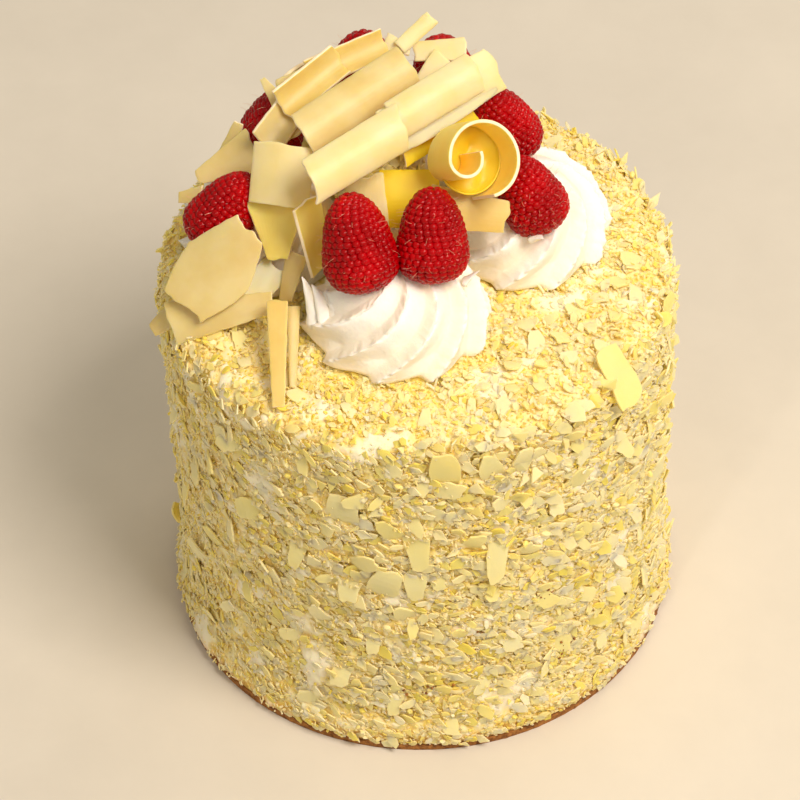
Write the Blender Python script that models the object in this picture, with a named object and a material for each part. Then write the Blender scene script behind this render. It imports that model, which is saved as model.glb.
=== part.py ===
"""A tall round white chocolate cake, modelled in millimetres and placed in metres.

The cake stands on its thin baked base, is coated all over in flaked white chocolate, and
carries four piped cream rosettes with two berries each round a heap of chocolate curls.
The origin is at the middle of the foot, with +Z up and the front of the cake at -Y.
"""
import math
import random
from dataclasses import dataclass

import bmesh
import bpy
from mathutils import Matrix, Vector, noise
from mathutils.bvhtree import BVHTree

MM = 0.001
SEED = 23

# Driving dimensions of the cake, in millimetres
FOOT_RADIUS = 75.0
BODY_RADIUS = 72.4
WAIST_RADIUS = 71.2
WAIST_HEIGHT = 40.0
CAKE_HEIGHT = 128.6
RIM_ROUNDING = 5.0
RIM_SPREAD = 0.2
FOOT_STEP = 0.4
FOOT_BAND = (3.0, 12.0)
BASE_THICKNESS = 2.2
GAP = 0.3
BODY_SEGMENTS = 48

# Flakes that stand out of the coating
SIDE_FLAKES = 160
TOP_FLAKES = 48
FLAKE_LENGTH = (7.0, 13.0)
FLAKE_WIDTH = (5.0, 8.5)
FLAKE_THICKNESS = 1.1
FLAKE_TILT = (14.0, 34.0)
FLAKE_TAPER = 0.72
FLAKE_LIFT = 0.8
FLAKE_OUT = 0.2
FLAKE_MARGIN = 7.0
FLAKE_LOW = 9.0
RIM_MARGIN = 2.0
TOP_FLAKE_SCALE = 0.8
TOP_MARGIN = 8.0
TOP_TRIES = 4
GOLDEN_ANGLE = math.pi * (3.0 - math.sqrt(5.0))

# Piped cream rosettes, spaced round the middle of the topping
TOPPING_CENTRE = (-5.5, 10.5)
ROSETTE_RING = 34.5
ROSETTE_RADIUS = 27.5
ROSETTE_HEIGHT = 24.0
ROSETTE_PROFILE = (
    (0.90, 0.0),
    (1.0, 0.12),
    (0.94, 0.34),
    (0.80, 0.58),
    (0.60, 0.78),
    (0.38, 0.92),
    (0.16, 0.99),
)
ROSETTE_RIDGES = 10
SEGMENTS_PER_RIDGE = 4
RIDGE_DEPTH = 0.16
RIDGE_TWIST = math.radians(78.0)
TWIST_EASE = 1.3
PRESS_DEPTH = 6.0

# Berries, each with its base in the cream and its tip leaning in over the heap
BERRY_WIDTH = 21.5
BERRY_LENGTH = 28.5
BERRY_MIDDLE = 0.93
BERRY_TAPER = 0.30
BERRY_COLUMNS = 10
BERRY_ROWS = 9
DRUPELET_RISE = 1.3
DRUPELET_SINK = 0.7
SOCKET_ROOM = 0.9
SOCKET_CELLS = (12, 8)

# Chocolate sheets, curls and the heap under them
SHEET_THICKNESS = 1.1
SHEET_RAGGED = 0.12
RAGGED_SCALE = 3.0
SHORT_SHEET = 16.0
MOST_CELLS = 8
SETTLE_STEP = 0.5
SETTLE_REACH = 200
SLOPE = Vector((0.0, 0.69, -0.72))
DOWN = Vector((0.0, 0.0, -1.0))
HEAP_CENTRE = (-12.0, 13.0, 154.0)
HEAP_RADII = (15.0, 15.0, 10.0)
HEAP_LUMP = 0.10
LUMP_SCALE = 2.3
HEAP_SHARDS = 14
SHARD_RISE = (0.25, 0.95)
SHARD_DEPTH = 0.97
SHARD_TILT = (10.0, 25.0)
SHARD_LENGTH = (7.0, 10.0)
SHARD_WIDTH = (4.0, 6.0)


@dataclass(frozen=True)
class Berry:
    """One berry: its middle, and the way its tip leans."""

    name: str
    centre: tuple
    lean_towards: float
    lean: float
    scale: float = 1.0


@dataclass(frozen=True)
class Sheet:
    """One thin piece of chocolate.

    centre is its middle, facing the azimuth and elevation of its outer side, and turn the
    angle of its length in its own plane. widths are those of its two ends, belly is what its
    middle has more, slant how far its long edges are shifted, and curl the radius it curls to,
    negative where the hollow side faces out. slide is the way it came to rest, and start how
    far back along that way it begins.
    """

    name: str
    centre: tuple
    facing: tuple
    turn: float
    length: float
    widths: tuple
    curl: float
    belly: float = 0.0
    slant: float = 0.0
    slide: Vector = SLOPE
    start: float = 0.0


BERRIES = (
    Berry("berry_front_left", (-15.6, -26.0, 162.0), 108.0, 30.0, 1.03),
    Berry("berry_front_right", (5.4, -23.4, 162.0), 88.0, 28.0, 0.99),
    Berry("berry_right_front", (31.8, -1.6, 156.0), 150.0, 30.0, 0.91),
    Berry("berry_right_back", (25.6, 19.0, 164.0), 165.0, 25.0, 0.89),
    Berry("berry_left_front", (-52.8, -0.5, 152.0), 25.0, 42.0, 0.95),
    Berry("berry_left_back", (-38.5, 28.0, 158.5), -30.0, 20.0, 0.90),
    Berry("berry_back_left", (-13.4, 48.5, 161.5), -60.0, 15.0, 0.93),
    Berry("berry_back_right", (9.8, 48.5, 159.0), -110.0, 15.0, 0.92),
)

SHEETS = (
    Sheet("shard_left_low", (-63.5, 13.5, 143.5), (-130.0, 45.0), 30.0, 8.0, (3.0, 6.0), 14.0),
    Sheet("sheet_left_back", (-53.0, 17.5, 152.0), (-110.0, 46.0), 38.0, 18.0, (4.0, 14.0), 16.0),
    Sheet("shard_left_tip", (-52.0, 22.0, 154.0), (-120.0, 30.0), 80.0, 15.0, (6.0, 3.0), 12.0,
          slide=DOWN),
    Sheet("shard_back_left", (-30.5, 33.5, 169.0), (-92.0, 56.0), 14.0, 15.0, (3.0, 9.0), 14.0,
          start=3.0),
    Sheet("curl_back_left", (-17.8, 35.8, 174.0), (-75.0, 46.0), 12.0, 24.0, (10.0, 9.0), -8.0),
    Sheet("sheet_back_right", (8.6, 39.8, 174.0), (-88.0, 60.0), 0.0, 15.0, (6.0, 7.0), 22.0),
    Sheet("shard_back_middle", (-3.5, 37.9, 178.0), (-90.0, 55.0), -25.0, 8.0, (5.5, 3.0), 12.0),
    Sheet("strip_back", (2.0, 40.9, 180.0), (-80.0, 50.0), 34.0, 13.0, (4.5, 5.0), 8.0),
    Sheet("shard_pointed", (-36.5, 22.0, 170.0), (-100.0, 50.0), 132.0, 19.0, (9.0, 1.5), 30.0),
    Sheet("curl_behind", (-28.3, 27.2, 173.0), (-65.0, 44.0), 20.0, 22.0, (12.0, 11.0), -7.0),
    Sheet("shard_small", (-29.6, 26.0, 168.0), (-90.0, 50.0), 65.0, 8.0, (6.0, 1.5), 12.0),
    Sheet("curl_left", (-37.7, 21.3, 162.0), (-70.0, 46.0), 38.0, 13.0, (11.0, 10.0), -8.0),
    Sheet("sheet_right", (15.0, -3.4, 150.0), (-82.0, 40.0), -14.0, 22.0, (13.0, 9.0), 40.0),
    Sheet("sheet_deep", (-1.0, -0.2, 153.0), (-90.0, 42.0), 0.0, 17.0, (17.0, 16.0), 22.0),
    Sheet("sheet_between", (-13.2, -4.0, 152.5), (-110.0, 32.0), 106.0, 19.0, (12.0, 12.0), 13.0),
    Sheet("sheet_under_small", (6.0, 15.5, 165.5), (-60.0, 46.0), 8.0, 25.0, (12.0, 11.0), 30.0,
          start=4.0),
    Sheet("sheet_under", (9.0, 20.5, 170.0), (-60.0, 46.0), 8.0, 38.0, (14.0, 13.0), 30.0,
          start=4.0),
    Sheet("shard_top_right", (5.6, 29.7, 174.0), (-80.0, 46.0), 46.0, 13.0, (5.0, 7.0), 20.0),
    Sheet("curl_long_right", (7.4, 18.2, 174.2), (-60.0, 48.0), 8.0, 28.5, (13.0, 13.5), 8.0,
          start=9.0),
    Sheet("strip_rim", (-38.5, -38.0, 131.0), (-90.0, 66.0), 90.0, 31.0, (3.6, 6.0), 30.0),
    Sheet("strip_rim_thin", (-34.3, -36.8, 133.0), (-60.0, 60.0), 62.0, 24.0, (2.0, 4.0), 4.0),
    Sheet("shard_far_left", (-70.4, -16.4, 124.0), (-130.0, 35.0), 60.0, 11.0, (4.0, 4.0), 5.0,
          belly=3.0),
    Sheet("sheet_low_left", (-54.6, -21.4, 131.0), (-105.0, 42.0), 21.0, 31.0, (13.0, 6.0), 22.0),
    Sheet("shard_pale", (-43.0, -17.6, 139.0), (-85.0, 45.0), 40.0, 13.0, (9.0, 9.0), 25.0),
    Sheet("sheet_big_left", (-55.5, -10.6, 138.0), (-110.0, 45.0), 60.0, 29.0, (14.0, 11.0), 34.0,
          belly=10.0),
    Sheet("strip_front_left", (-35.1, -18.5, 142.0), (-110.0, 35.0), 86.0, 14.0, (4.0, 7.0), 6.0),
    Sheet("sheet_left_scoop", (-38.2, -5.7, 148.0), (-95.0, 40.0), 92.0, 17.0, (6.0, 18.0), -18.0),
    Sheet("curl_square", (-36.8, 1.4, 161.5), (-103.0, 44.0), 91.0, 17.0, (18.0, 19.0), 17.0),
    Sheet("curl_long_left", (-14.6, 1.8, 168.0), (-60.0, 48.0), 8.0, 32.0, (14.0, 15.0), 9.0,
          slant=3.0, start=14.0),
    Sheet("curl_top", (-14.2, 14.0, 178.5), (-60.0, 50.0), 10.0, 38.0, (15.5, 15.5), 9.0,
          start=9.0),
    Sheet("sheet_standing", (-29.0, -11.5, 150.5), (-38.0, 18.0), 84.0, 22.0, (9.0, 12.0), -12.0),
    Sheet("back_sheet_left", (-32.0, 41.0, 168.0), (130.0, 40.0), 60.0, 20.0, (13.0, 9.0), 20.0,
          belly=4.0, slide=DOWN, start=5.0),
    Sheet("back_sheet_right", (19.0, 37.0, 160.0), (50.0, 35.0), 20.0, 17.0, (10.0, 7.0), 18.0,
          slide=DOWN),
    Sheet("back_curl", (-5.0, 37.0, 166.0), (85.0, 50.0), 15.0, 26.0, (13.0, 12.0), 8.0,
          slide=DOWN),
    Sheet("back_shard", (-22.0, 36.0, 172.0), (110.0, 50.0), 100.0, 14.0, (8.0, 4.0), 14.0,
          slide=DOWN),
    Sheet("right_shard", (20.0, 31.0, 164.0), (20.0, 45.0), 45.0, 13.0, (7.0, 4.0), 16.0,
          slide=DOWN),
)

SPIRAL_AFTER = "curl_long_right"
SPIRAL_CENTRE = (16.8, 9.3, 156.6)
SPIRAL_AXIS = (-56.0, 41.0)
SPIRAL_TURN = -24.0
SPIRAL_LENGTH = 14.0
SPIRAL_RADIUS = 10.9
SPIRAL_INNER_RADIUS = 5.4
SPIRAL_START = -75.0
SPIRAL_TIGHTENS = 180.0
SPIRAL_END = 385.0
SPIRAL_STEPS = 24


def clear_scene():
    """Start from an empty scene."""
    for old in list(bpy.data.objects):
        bpy.data.objects.remove(old, do_unlink=True)


def make_material(name, colour, roughness):
    """A plain food material; colour is linear RGB."""
    material = bpy.data.materials.new(name)
    material.use_nodes = True
    shader = material.node_tree.nodes["Principled BSDF"]
    shader.inputs["Base Color"].default_value = (*colour, 1.0)
    shader.inputs["Roughness"].default_value = roughness
    shader.inputs["Metallic"].default_value = 0.0
    return material


def add_object(name, bm, material, smooth=True):
    """Turn a mesh in millimetres into a named object in metres."""
    mesh = bpy.data.meshes.new(name)
    bm.to_mesh(mesh)
    mesh.transform(Matrix.Scale(MM, 4))
    mesh.materials.append(material)
    if smooth:
        mesh.shade_smooth()
        mesh.set_sharp_from_angle(angle=math.radians(40.0))
    obj = bpy.data.objects.new(name, mesh)
    bpy.context.scene.collection.objects.link(obj)
    return obj


def direction(azimuth, elevation):
    """Unit vector at an azimuth and elevation in degrees."""
    az = math.radians(azimuth)
    el = math.radians(elevation)
    return Vector((math.cos(az) * math.cos(el), math.sin(az) * math.cos(el), math.sin(el)))


def frame_at(centre, facing, turn=0.0):
    """Matrix whose Z faces out at facing, and whose X is turned in that plane."""
    out = direction(*facing)
    level = Vector((0.0, 0.0, 1.0)).cross(out).normalized()
    rise = out.cross(level)
    angle = math.radians(turn)
    along = level * math.cos(angle) + rise * math.sin(angle)
    across = out.cross(along)
    rotation = Matrix((along, across, out)).transposed()
    return Matrix.Translation(Vector(centre)) @ rotation.to_4x4()


def turned_solid(profile, segments):
    """Closed solid of revolution: profile is (radius, height) from foot to top.

    The first and last heights also close the solid on its axis.
    """
    bm = bmesh.new()
    bmesh.ops.create_uvsphere(bm, u_segments=segments, v_segments=len(profile) + 1, radius=1.0)
    for vert in bm.verts:
        ring, spoke = ring_and_spoke(vert.co, len(profile) + 1)
        radius, height = profile[min(max(ring, 1), len(profile)) - 1]
        if ring in (0, len(profile) + 1):
            radius = 0.0
        vert.co = Vector((spoke.x * radius, spoke.y * radius, height))
    return bm


def ring_and_spoke(co, rings):
    """Ring number of a unit sphere's point, from the bottom, and its level direction."""
    ring = round(math.acos(max(-1.0, min(1.0, -co.z))) / math.pi * rings)
    spoke = Vector((co.x, co.y, 0.0))
    if spoke.length > 0.0:
        spoke.normalize()
    return ring, spoke


def body_profile():
    """Outline of the coated cake: flared foot, slight waist, rounded rim."""
    foot = BASE_THICKNESS + GAP
    top = CAKE_HEIGHT
    inset = RIM_ROUNDING * (1.0 - math.sqrt(0.5))
    return (
        (FOOT_RADIUS - FOOT_STEP * 2.0, foot),
        (FOOT_RADIUS - FOOT_STEP, foot + FOOT_BAND[0]),
        (BODY_RADIUS, foot + FOOT_BAND[1]),
        (WAIST_RADIUS, WAIST_HEIGHT),
        (BODY_RADIUS - RIM_SPREAD, (WAIST_HEIGHT + top) / 2.0),
        (BODY_RADIUS + RIM_SPREAD, top - RIM_ROUNDING),
        (BODY_RADIUS + RIM_SPREAD - inset, top - inset),
        (BODY_RADIUS + RIM_SPREAD - RIM_ROUNDING, top),
    )


def body_radius_at(height):
    """Radius of the coated side at a height."""
    points = body_profile()[:6]
    for (r0, z0), (r1, z1) in zip(points, points[1:]):
        if height <= z1:
            return r0 + (r1 - r0) * (height - z0) / (z1 - z0)
    return points[-1][0]


def flake_mesh(bm, place, length, width):
    """Add one tapered chip to bm, its length along local X and its face along local Z."""
    chip = bmesh.ops.create_cube(bm, size=1.0)["verts"]
    for vert in chip:
        narrow = FLAKE_TAPER if vert.co.x > 0.0 else 1.0
        lift = FLAKE_LIFT if vert.co.x > 0.0 else 0.0
        vert.co = place @ Vector((
            vert.co.x * length,
            vert.co.y * width * narrow,
            vert.co.z * FLAKE_THICKNESS + lift,
        ))


def flake_size(share, draw):
    """Length and width of a flake; the first ones are the largest."""
    length = FLAKE_LENGTH[1] + (FLAKE_LENGTH[0] - FLAKE_LENGTH[1]) * share
    width = FLAKE_WIDTH[1] + (FLAKE_WIDTH[0] - FLAKE_WIDTH[1]) * share
    return length * draw.uniform(0.9, 1.1), width * draw.uniform(0.85, 1.15)


def side_flakes(draw):
    """Flakes spread evenly over the side, each with one end sunk in the coating."""
    meshes = []
    low = FLAKE_LOW
    high = CAKE_HEIGHT - RIM_ROUNDING - RIM_MARGIN
    order = list(range(SIDE_FLAKES))
    draw.shuffle(order)
    for rank, index in enumerate(order):
        height = low + (high - low) * (index + 0.5) / SIDE_FLAKES
        around = index * GOLDEN_ANGLE
        length, width = flake_size(rank / SIDE_FLAKES, draw)
        radius = body_radius_at(height) + FLAKE_OUT
        centre = (radius * math.cos(around), radius * math.sin(around), height)
        tilt = draw.uniform(*FLAKE_TILT)
        place = frame_at(centre, (math.degrees(around), 0.0), draw.uniform(0.0, 360.0))
        place = place @ Matrix.Rotation(math.radians(-tilt), 4, "Y")
        bm = bmesh.new()
        flake_mesh(bm, place, length, width)
        meshes.append(bm)
    return meshes


def top_flakes(draw):
    """Flakes on the open part of the top, clear of the rosettes."""
    meshes = []
    centres = [rosette_centre(number) for number in range(4)]
    reach = BODY_RADIUS - TOP_MARGIN
    tries = TOP_FLAKES * TOP_TRIES
    for index in range(tries):
        radius = reach * math.sqrt((index + 0.5) / tries)
        around = index * GOLDEN_ANGLE
        spot = Vector((radius * math.cos(around), radius * math.sin(around), CAKE_HEIGHT + FLAKE_OUT))
        near = min((spot.xy - centre.xy).length for centre in centres)
        inside = (spot.xy - Vector(TOPPING_CENTRE)).length < ROSETTE_RING
        if inside or near < ROSETTE_RADIUS + FLAKE_MARGIN:
            continue
        length, width = flake_size(draw.random(), draw)
        place = frame_at(spot, (0.0, 89.9), draw.uniform(0.0, 360.0))
        place = place @ Matrix.Rotation(math.radians(-draw.uniform(*FLAKE_TILT)), 4, "Y")
        bm = bmesh.new()
        flake_mesh(bm, place, length * TOP_FLAKE_SCALE, width * TOP_FLAKE_SCALE)
        meshes.append(bm)
    return meshes[:TOP_FLAKES]


def fuse(obj, meshes, material):
    """Union loose solids onto obj with one Boolean, then remove them."""
    loose = bpy.data.collections.new(obj.name + "_pieces")
    bpy.context.scene.collection.children.link(loose)
    for number, bm in enumerate(meshes):
        piece = add_object(f"{obj.name}_piece_{number}", bm, material, smooth=False)
        bm.free()
        bpy.context.scene.collection.objects.unlink(piece)
        loose.objects.link(piece)
    union = obj.modifiers.new("union", "BOOLEAN")
    union.operation = "UNION"
    union.operand_type = "COLLECTION"
    union.collection = loose
    union.solver = "EXACT"
    bake_modifiers(obj)
    for piece in list(loose.objects):
        bpy.data.objects.remove(piece, do_unlink=True)
    bpy.data.collections.remove(loose)


def bake_modifiers(obj):
    """Apply every modifier of obj to its mesh."""
    graph = bpy.context.evaluated_depsgraph_get()
    mesh = bpy.data.meshes.new_from_object(obj.evaluated_get(graph))
    obj.modifiers.clear()
    old = obj.data
    obj.data = mesh
    bpy.data.meshes.remove(old)
    mesh.name = obj.name


def solid_from(obj):
    """Search tree of obj's surface, in millimetres."""
    bm = bmesh.new()
    bm.from_mesh(obj.data)
    bmesh.ops.scale(bm, vec=(1.0 / MM,) * 3, verts=bm.verts)
    tree = BVHTree.FromBMesh(bm)
    bm.free()
    return tree


def rosette_centre(number):
    """Foot of a rosette: 0 is the right one, then back, left and front."""
    around = number * math.pi / 2.0
    return Vector((
        TOPPING_CENTRE[0] + ROSETTE_RING * math.cos(around),
        TOPPING_CENTRE[1] + ROSETTE_RING * math.sin(around),
        CAKE_HEIGHT + GAP,
    ))


def rosette_mesh(number):
    """Piped swirl: a low dome whose ridges turn inwards as they rise."""
    profile = [(ROSETTE_RADIUS * wide, ROSETTE_HEIGHT * high) for wide, high in ROSETTE_PROFILE]
    bm = turned_solid(profile, ROSETTE_RIDGES * SEGMENTS_PER_RIDGE)
    for vert in bm.verts:
        rise = vert.co.z / ROSETTE_HEIGHT
        around = math.atan2(vert.co.y, vert.co.x)
        crest = math.cos(ROSETTE_RIDGES * around)
        if rise > 0.0:
            vert.co.xy *= 1.0 + RIDGE_DEPTH * (crest - 1.0) / 2.0
        vert.co = Matrix.Rotation(RIDGE_TWIST * rise ** TWIST_EASE, 3, "Z") @ vert.co
    centre = rosette_centre(number)
    bmesh.ops.translate(bm, vec=centre, verts=bm.verts)
    for step in (1, 3):
        press(bm, centre, rosette_centre((number + step) % 4))
    return bm


def press(bm, centre, neighbour):
    """Squeeze the side of a swirl that meets its neighbour, so that they just touch."""
    towards = (neighbour - centre).normalized()
    limit = (neighbour - centre).length / 2.0 - GAP
    soft = limit - PRESS_DEPTH
    reach = ROSETTE_RADIUS + 1.0
    for vert in bm.verts:
        along = (vert.co - centre).dot(towards)
        if along > soft:
            pressed = soft + (along - soft) * (limit - soft) / (reach - soft)
            vert.co += towards * (pressed - along)


def berry_profile(height):
    """Width factor of a berry: broad low down, narrowing to a blunt tip."""
    round_off = math.sqrt(max(0.0, 1.0 - abs(height) ** 3))
    return BERRY_MIDDLE * round_off * (1.0 - BERRY_TAPER * height)


def berry_frame(berry):
    """Matrix of a berry: local Z runs from its base to its tip."""
    return frame_at(berry.centre, (berry.lean_towards, 90.0 - berry.lean))


def berry_mesh(berry, rise=DRUPELET_RISE, grow=0.0, columns=BERRY_COLUMNS, rows=BERRY_ROWS):
    """Berry with one raised drupelet for each cell of a twisted net."""
    bm = bmesh.new()
    bmesh.ops.create_uvsphere(bm, u_segments=columns, v_segments=rows, radius=1.0)
    radius = BERRY_WIDTH * berry.scale / 2.0 + grow - rise * DRUPELET_SINK
    half = BERRY_LENGTH * berry.scale / 2.0 + grow - rise * DRUPELET_SINK
    for vert in bm.verts:
        ring, spoke = ring_and_spoke(vert.co, rows)
        height = vert.co.z
        spoke = Matrix.Rotation(ring * math.pi / columns, 3, "Z") @ spoke
        width = berry_profile(height) * radius
        vert.co = Vector((spoke.x * width, spoke.y * width, height * half))
    if rise > 0.0:
        cells = [face for face in bm.faces if len(face.verts) == 4]
        bmesh.ops.poke(bm, faces=cells, offset=rise)
    bmesh.ops.transform(bm, matrix=berry_frame(berry), verts=bm.verts)
    return bm


def cut_for_berries(obj, material):
    """Hollow the cream where its berries are pushed in."""
    for berry in BERRIES:
        bm = berry_mesh(berry, 0.0, SOCKET_ROOM, *SOCKET_CELLS)
        cutter = add_object("cutter", bm, material, smooth=False)
        bm.free()
        cut = obj.modifiers.new("cut", "BOOLEAN")
        cut.operation = "DIFFERENCE"
        cut.object = cutter
        cut.solver = "EXACT"
        bake_modifiers(obj)
        bpy.data.objects.remove(cutter, do_unlink=True)


def sheet_grid(sheet):
    """Cells along and across a sheet: more across where it curls more."""
    bend = max(sheet.widths) / abs(sheet.curl)
    across = 2 + round(3.0 * bend)
    along = 2 if sheet.length < SHORT_SHEET else 3
    return along, min(across, MOST_CELLS)


def sheet_mesh(sheet):
    """Curved sheet of chocolate, closed all round."""
    bm = bmesh.new()
    along, across = sheet_grid(sheet)
    bmesh.ops.create_grid(bm, x_segments=along, y_segments=across, size=0.5)
    near, far = sheet.widths
    for vert in bm.verts:
        u = vert.co.x
        w = vert.co.y
        width = near + (far - near) * (u + 0.5) + sheet.belly * (1.0 - 4.0 * u * u)
        spot = Vector((u * RAGGED_SCALE, w * RAGGED_SCALE, len(sheet.name)))
        ragged = noise.noise(spot) * SHEET_RAGGED * width
        angle = width * w / sheet.curl
        vert.co = Vector((
            sheet.length * u + sheet.slant * w + ragged,
            sheet.curl * math.sin(angle),
            sheet.curl * (math.cos(angle) - 1.0),
        ))
    thicken(bm)
    bmesh.ops.transform(bm, matrix=frame_at(sheet.centre, sheet.facing, sheet.turn), verts=bm.verts)
    return bm


def spiral_mesh():
    """Roll of chocolate: a wide turn and a tighter one inside it, its axis along local Z."""
    bm = bmesh.new()
    bmesh.ops.create_grid(bm, x_segments=2, y_segments=SPIRAL_STEPS, size=0.5)
    for vert in bm.verts:
        degrees = SPIRAL_START + (SPIRAL_END - SPIRAL_START) * (vert.co.y + 0.5)
        inner = degrees > SPIRAL_TIGHTENS
        radius = SPIRAL_INNER_RADIUS if inner else SPIRAL_RADIUS
        middle = SPIRAL_INNER_RADIUS - SPIRAL_RADIUS if inner else 0.0
        angle = math.radians(degrees)
        vert.co = Vector((
            middle + radius * math.cos(angle),
            radius * math.sin(angle),
            SPIRAL_LENGTH * vert.co.x,
        ))
    thicken(bm)
    place = frame_at(SPIRAL_CENTRE, SPIRAL_AXIS, SPIRAL_TURN)
    bmesh.ops.transform(bm, matrix=place, verts=bm.verts)
    return bm


def thicken(bm):
    """Give an open sheet its wall and point its faces out."""
    bmesh.ops.recalc_face_normals(bm, faces=bm.faces)
    bmesh.ops.solidify(bm, geom=bm.faces[:], thickness=SHEET_THICKNESS)
    bmesh.ops.recalc_face_normals(bm, faces=bm.faces)


def settle(bm, solids, slide, start):
    """Slide a piece along its way until it would touch, and leave it one gap short.

    Where it begins it first takes the nearest place that is clear. A piece that begins
    further back looks for that place only backwards, so it stays on top.
    """
    step = slide * SETTLE_STEP
    bmesh.ops.translate(bm, vec=slide * -start, verts=bm.verts)
    for tries in range(1, 2 * SETTLE_REACH):
        if is_clear(bm, solids):
            break
        hop = -1 if start > 0.0 else tries * (-1) ** tries
        bmesh.ops.translate(bm, vec=step * hop, verts=bm.verts)
    for _ in range(SETTLE_REACH):
        bmesh.ops.translate(bm, vec=step, verts=bm.verts)
        if not is_clear(bm, solids):
            bmesh.ops.translate(bm, vec=-step, verts=bm.verts)
            break
    bmesh.ops.translate(bm, vec=slide * -GAP, verts=bm.verts)
    if not is_clear(bm, solids):
        bmesh.ops.translate(bm, vec=slide * GAP, verts=bm.verts)


def is_clear(bm, solids):
    """Whether a piece crosses none of the solids already placed."""
    tree = BVHTree.FromBMesh(bm)
    return not any(tree.overlap(solid) for solid in solids)


def heap_mesh():
    """Lumpy mound of small shavings that the big pieces lie on."""
    bm = bmesh.new()
    bmesh.ops.create_icosphere(bm, subdivisions=2, radius=1.0)
    for vert in bm.verts:
        lump = 1.0 + HEAP_LUMP * noise.noise(vert.co * LUMP_SCALE)
        vert.co = Vector([axis * size * lump for axis, size in zip(vert.co, HEAP_RADII)])
    bmesh.ops.translate(bm, vec=Vector(HEAP_CENTRE), verts=bm.verts)
    return bm


def heap_shards(draw, middle):
    """Small shavings that stand out of the mound."""
    meshes = []
    for index in range(HEAP_SHARDS):
        around = index * GOLDEN_ANGLE
        rise = SHARD_RISE[0] + (SHARD_RISE[1] - SHARD_RISE[0]) * (index + 0.5) / HEAP_SHARDS
        level = math.sqrt(1.0 - rise * rise)
        unit = Vector((math.cos(around) * level, math.sin(around) * level, rise))
        spot = Vector([axis * size for axis, size in zip(unit, HEAP_RADII)]) * SHARD_DEPTH
        facing = (math.degrees(around), math.degrees(math.asin(rise)))
        place = frame_at(spot + middle, facing, draw.uniform(0.0, 360.0))
        place = place @ Matrix.Rotation(math.radians(-draw.uniform(*SHARD_TILT)), 4, "Y")
        bm = bmesh.new()
        flake_mesh(bm, place, draw.uniform(*SHARD_LENGTH), draw.uniform(*SHARD_WIDTH))
        meshes.append(bm)
    return meshes


def build():
    """Build every piece of the cake, from the foot up."""
    clear_scene()
    draw = random.Random(SEED)
    chocolate = make_material("white_chocolate", (0.86, 0.68, 0.32), 0.45)
    cream = make_material("whipped_cream", (0.90, 0.84, 0.72), 0.55)
    fruit = make_material("berry_red", (0.42, 0.01, 0.02), 0.30)
    baked = make_material("baked_base", (0.22, 0.09, 0.03), 0.80)

    base = turned_solid(((FOOT_RADIUS, 0.0), (FOOT_RADIUS, BASE_THICKNESS)), BODY_SEGMENTS)
    add_object("baked_base", base, baked)
    base.free()

    body_mesh = turned_solid(body_profile(), BODY_SEGMENTS)
    body = add_object("coated_cake", body_mesh, chocolate)
    body_mesh.free()
    fuse(body, side_flakes(draw) + top_flakes(draw), chocolate)
    solids = [solid_from(body)]

    for number, side in enumerate(("right", "back", "left", "front")):
        swirl = rosette_mesh(number)
        rosette = add_object(f"cream_rosette_{side}", swirl, cream)
        swirl.free()
        cut_for_berries(rosette, cream)
        solids.append(solid_from(rosette))

    for berry in BERRIES:
        fruit_mesh = berry_mesh(berry)
        solids.append(solid_from(add_object(berry.name, fruit_mesh, fruit)))
        fruit_mesh.free()

    mound_mesh = heap_mesh()
    settle(mound_mesh, solids, DOWN, 0.0)
    mound = add_object("shaving_mound", mound_mesh, chocolate)
    middle = sum((vert.co for vert in mound_mesh.verts), Vector()) / len(mound_mesh.verts)
    mound_mesh.free()
    fuse(mound, heap_shards(draw, middle), chocolate)
    solids.append(solid_from(mound))

    for sheet in SHEETS:
        piece = sheet_mesh(sheet)
        settle(piece, solids, sheet.slide, sheet.start)
        solids.append(solid_from(add_object(sheet.name, piece, chocolate)))
        piece.free()
        if sheet.name == SPIRAL_AFTER:
            roll = spiral_mesh()
            settle(roll, solids, SLOPE, 0.0)
            solids.append(solid_from(add_object("curl_spiral", roll, chocolate)))
            roll.free()


build()
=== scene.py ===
"""The looks of a tall round white chocolate cake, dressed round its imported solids.

Sizes are in millimetres until a mesh is finished, when it becomes metres in the solids' own
frame: the origin is at the middle of the foot, +Z is up and the front of the cake faces -Y.
"""

import logging
import math
import random
from collections.abc import Callable
from dataclasses import dataclass, field
from enum import Enum

import bmesh
import bpy
import numpy as np
from bmesh.types import BMEdge, BMesh, BMVert
from bpy.types import ID, Material, Mesh, Node, NodeSocket, NodeTree, Object
from mathutils import Matrix, Vector, noise


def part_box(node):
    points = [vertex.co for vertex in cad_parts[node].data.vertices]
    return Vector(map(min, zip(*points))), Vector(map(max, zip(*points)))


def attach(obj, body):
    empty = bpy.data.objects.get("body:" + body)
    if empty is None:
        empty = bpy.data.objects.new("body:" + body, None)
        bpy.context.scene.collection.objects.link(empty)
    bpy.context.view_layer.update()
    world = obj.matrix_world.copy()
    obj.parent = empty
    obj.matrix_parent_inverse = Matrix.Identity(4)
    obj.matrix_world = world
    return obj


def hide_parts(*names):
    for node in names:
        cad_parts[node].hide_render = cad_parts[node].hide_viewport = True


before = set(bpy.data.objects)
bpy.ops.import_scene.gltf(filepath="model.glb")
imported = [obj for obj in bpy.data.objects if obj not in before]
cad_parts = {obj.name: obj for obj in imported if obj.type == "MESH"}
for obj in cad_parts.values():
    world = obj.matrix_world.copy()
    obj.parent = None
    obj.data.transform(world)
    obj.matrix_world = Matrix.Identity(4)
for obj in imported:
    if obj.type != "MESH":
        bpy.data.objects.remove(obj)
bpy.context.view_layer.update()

LOG = logging.getLogger("cake")
MM = 0.001
SEED = 23
GOLDEN_ANGLE = math.pi * (3.0 - math.sqrt(5.0))

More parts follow.
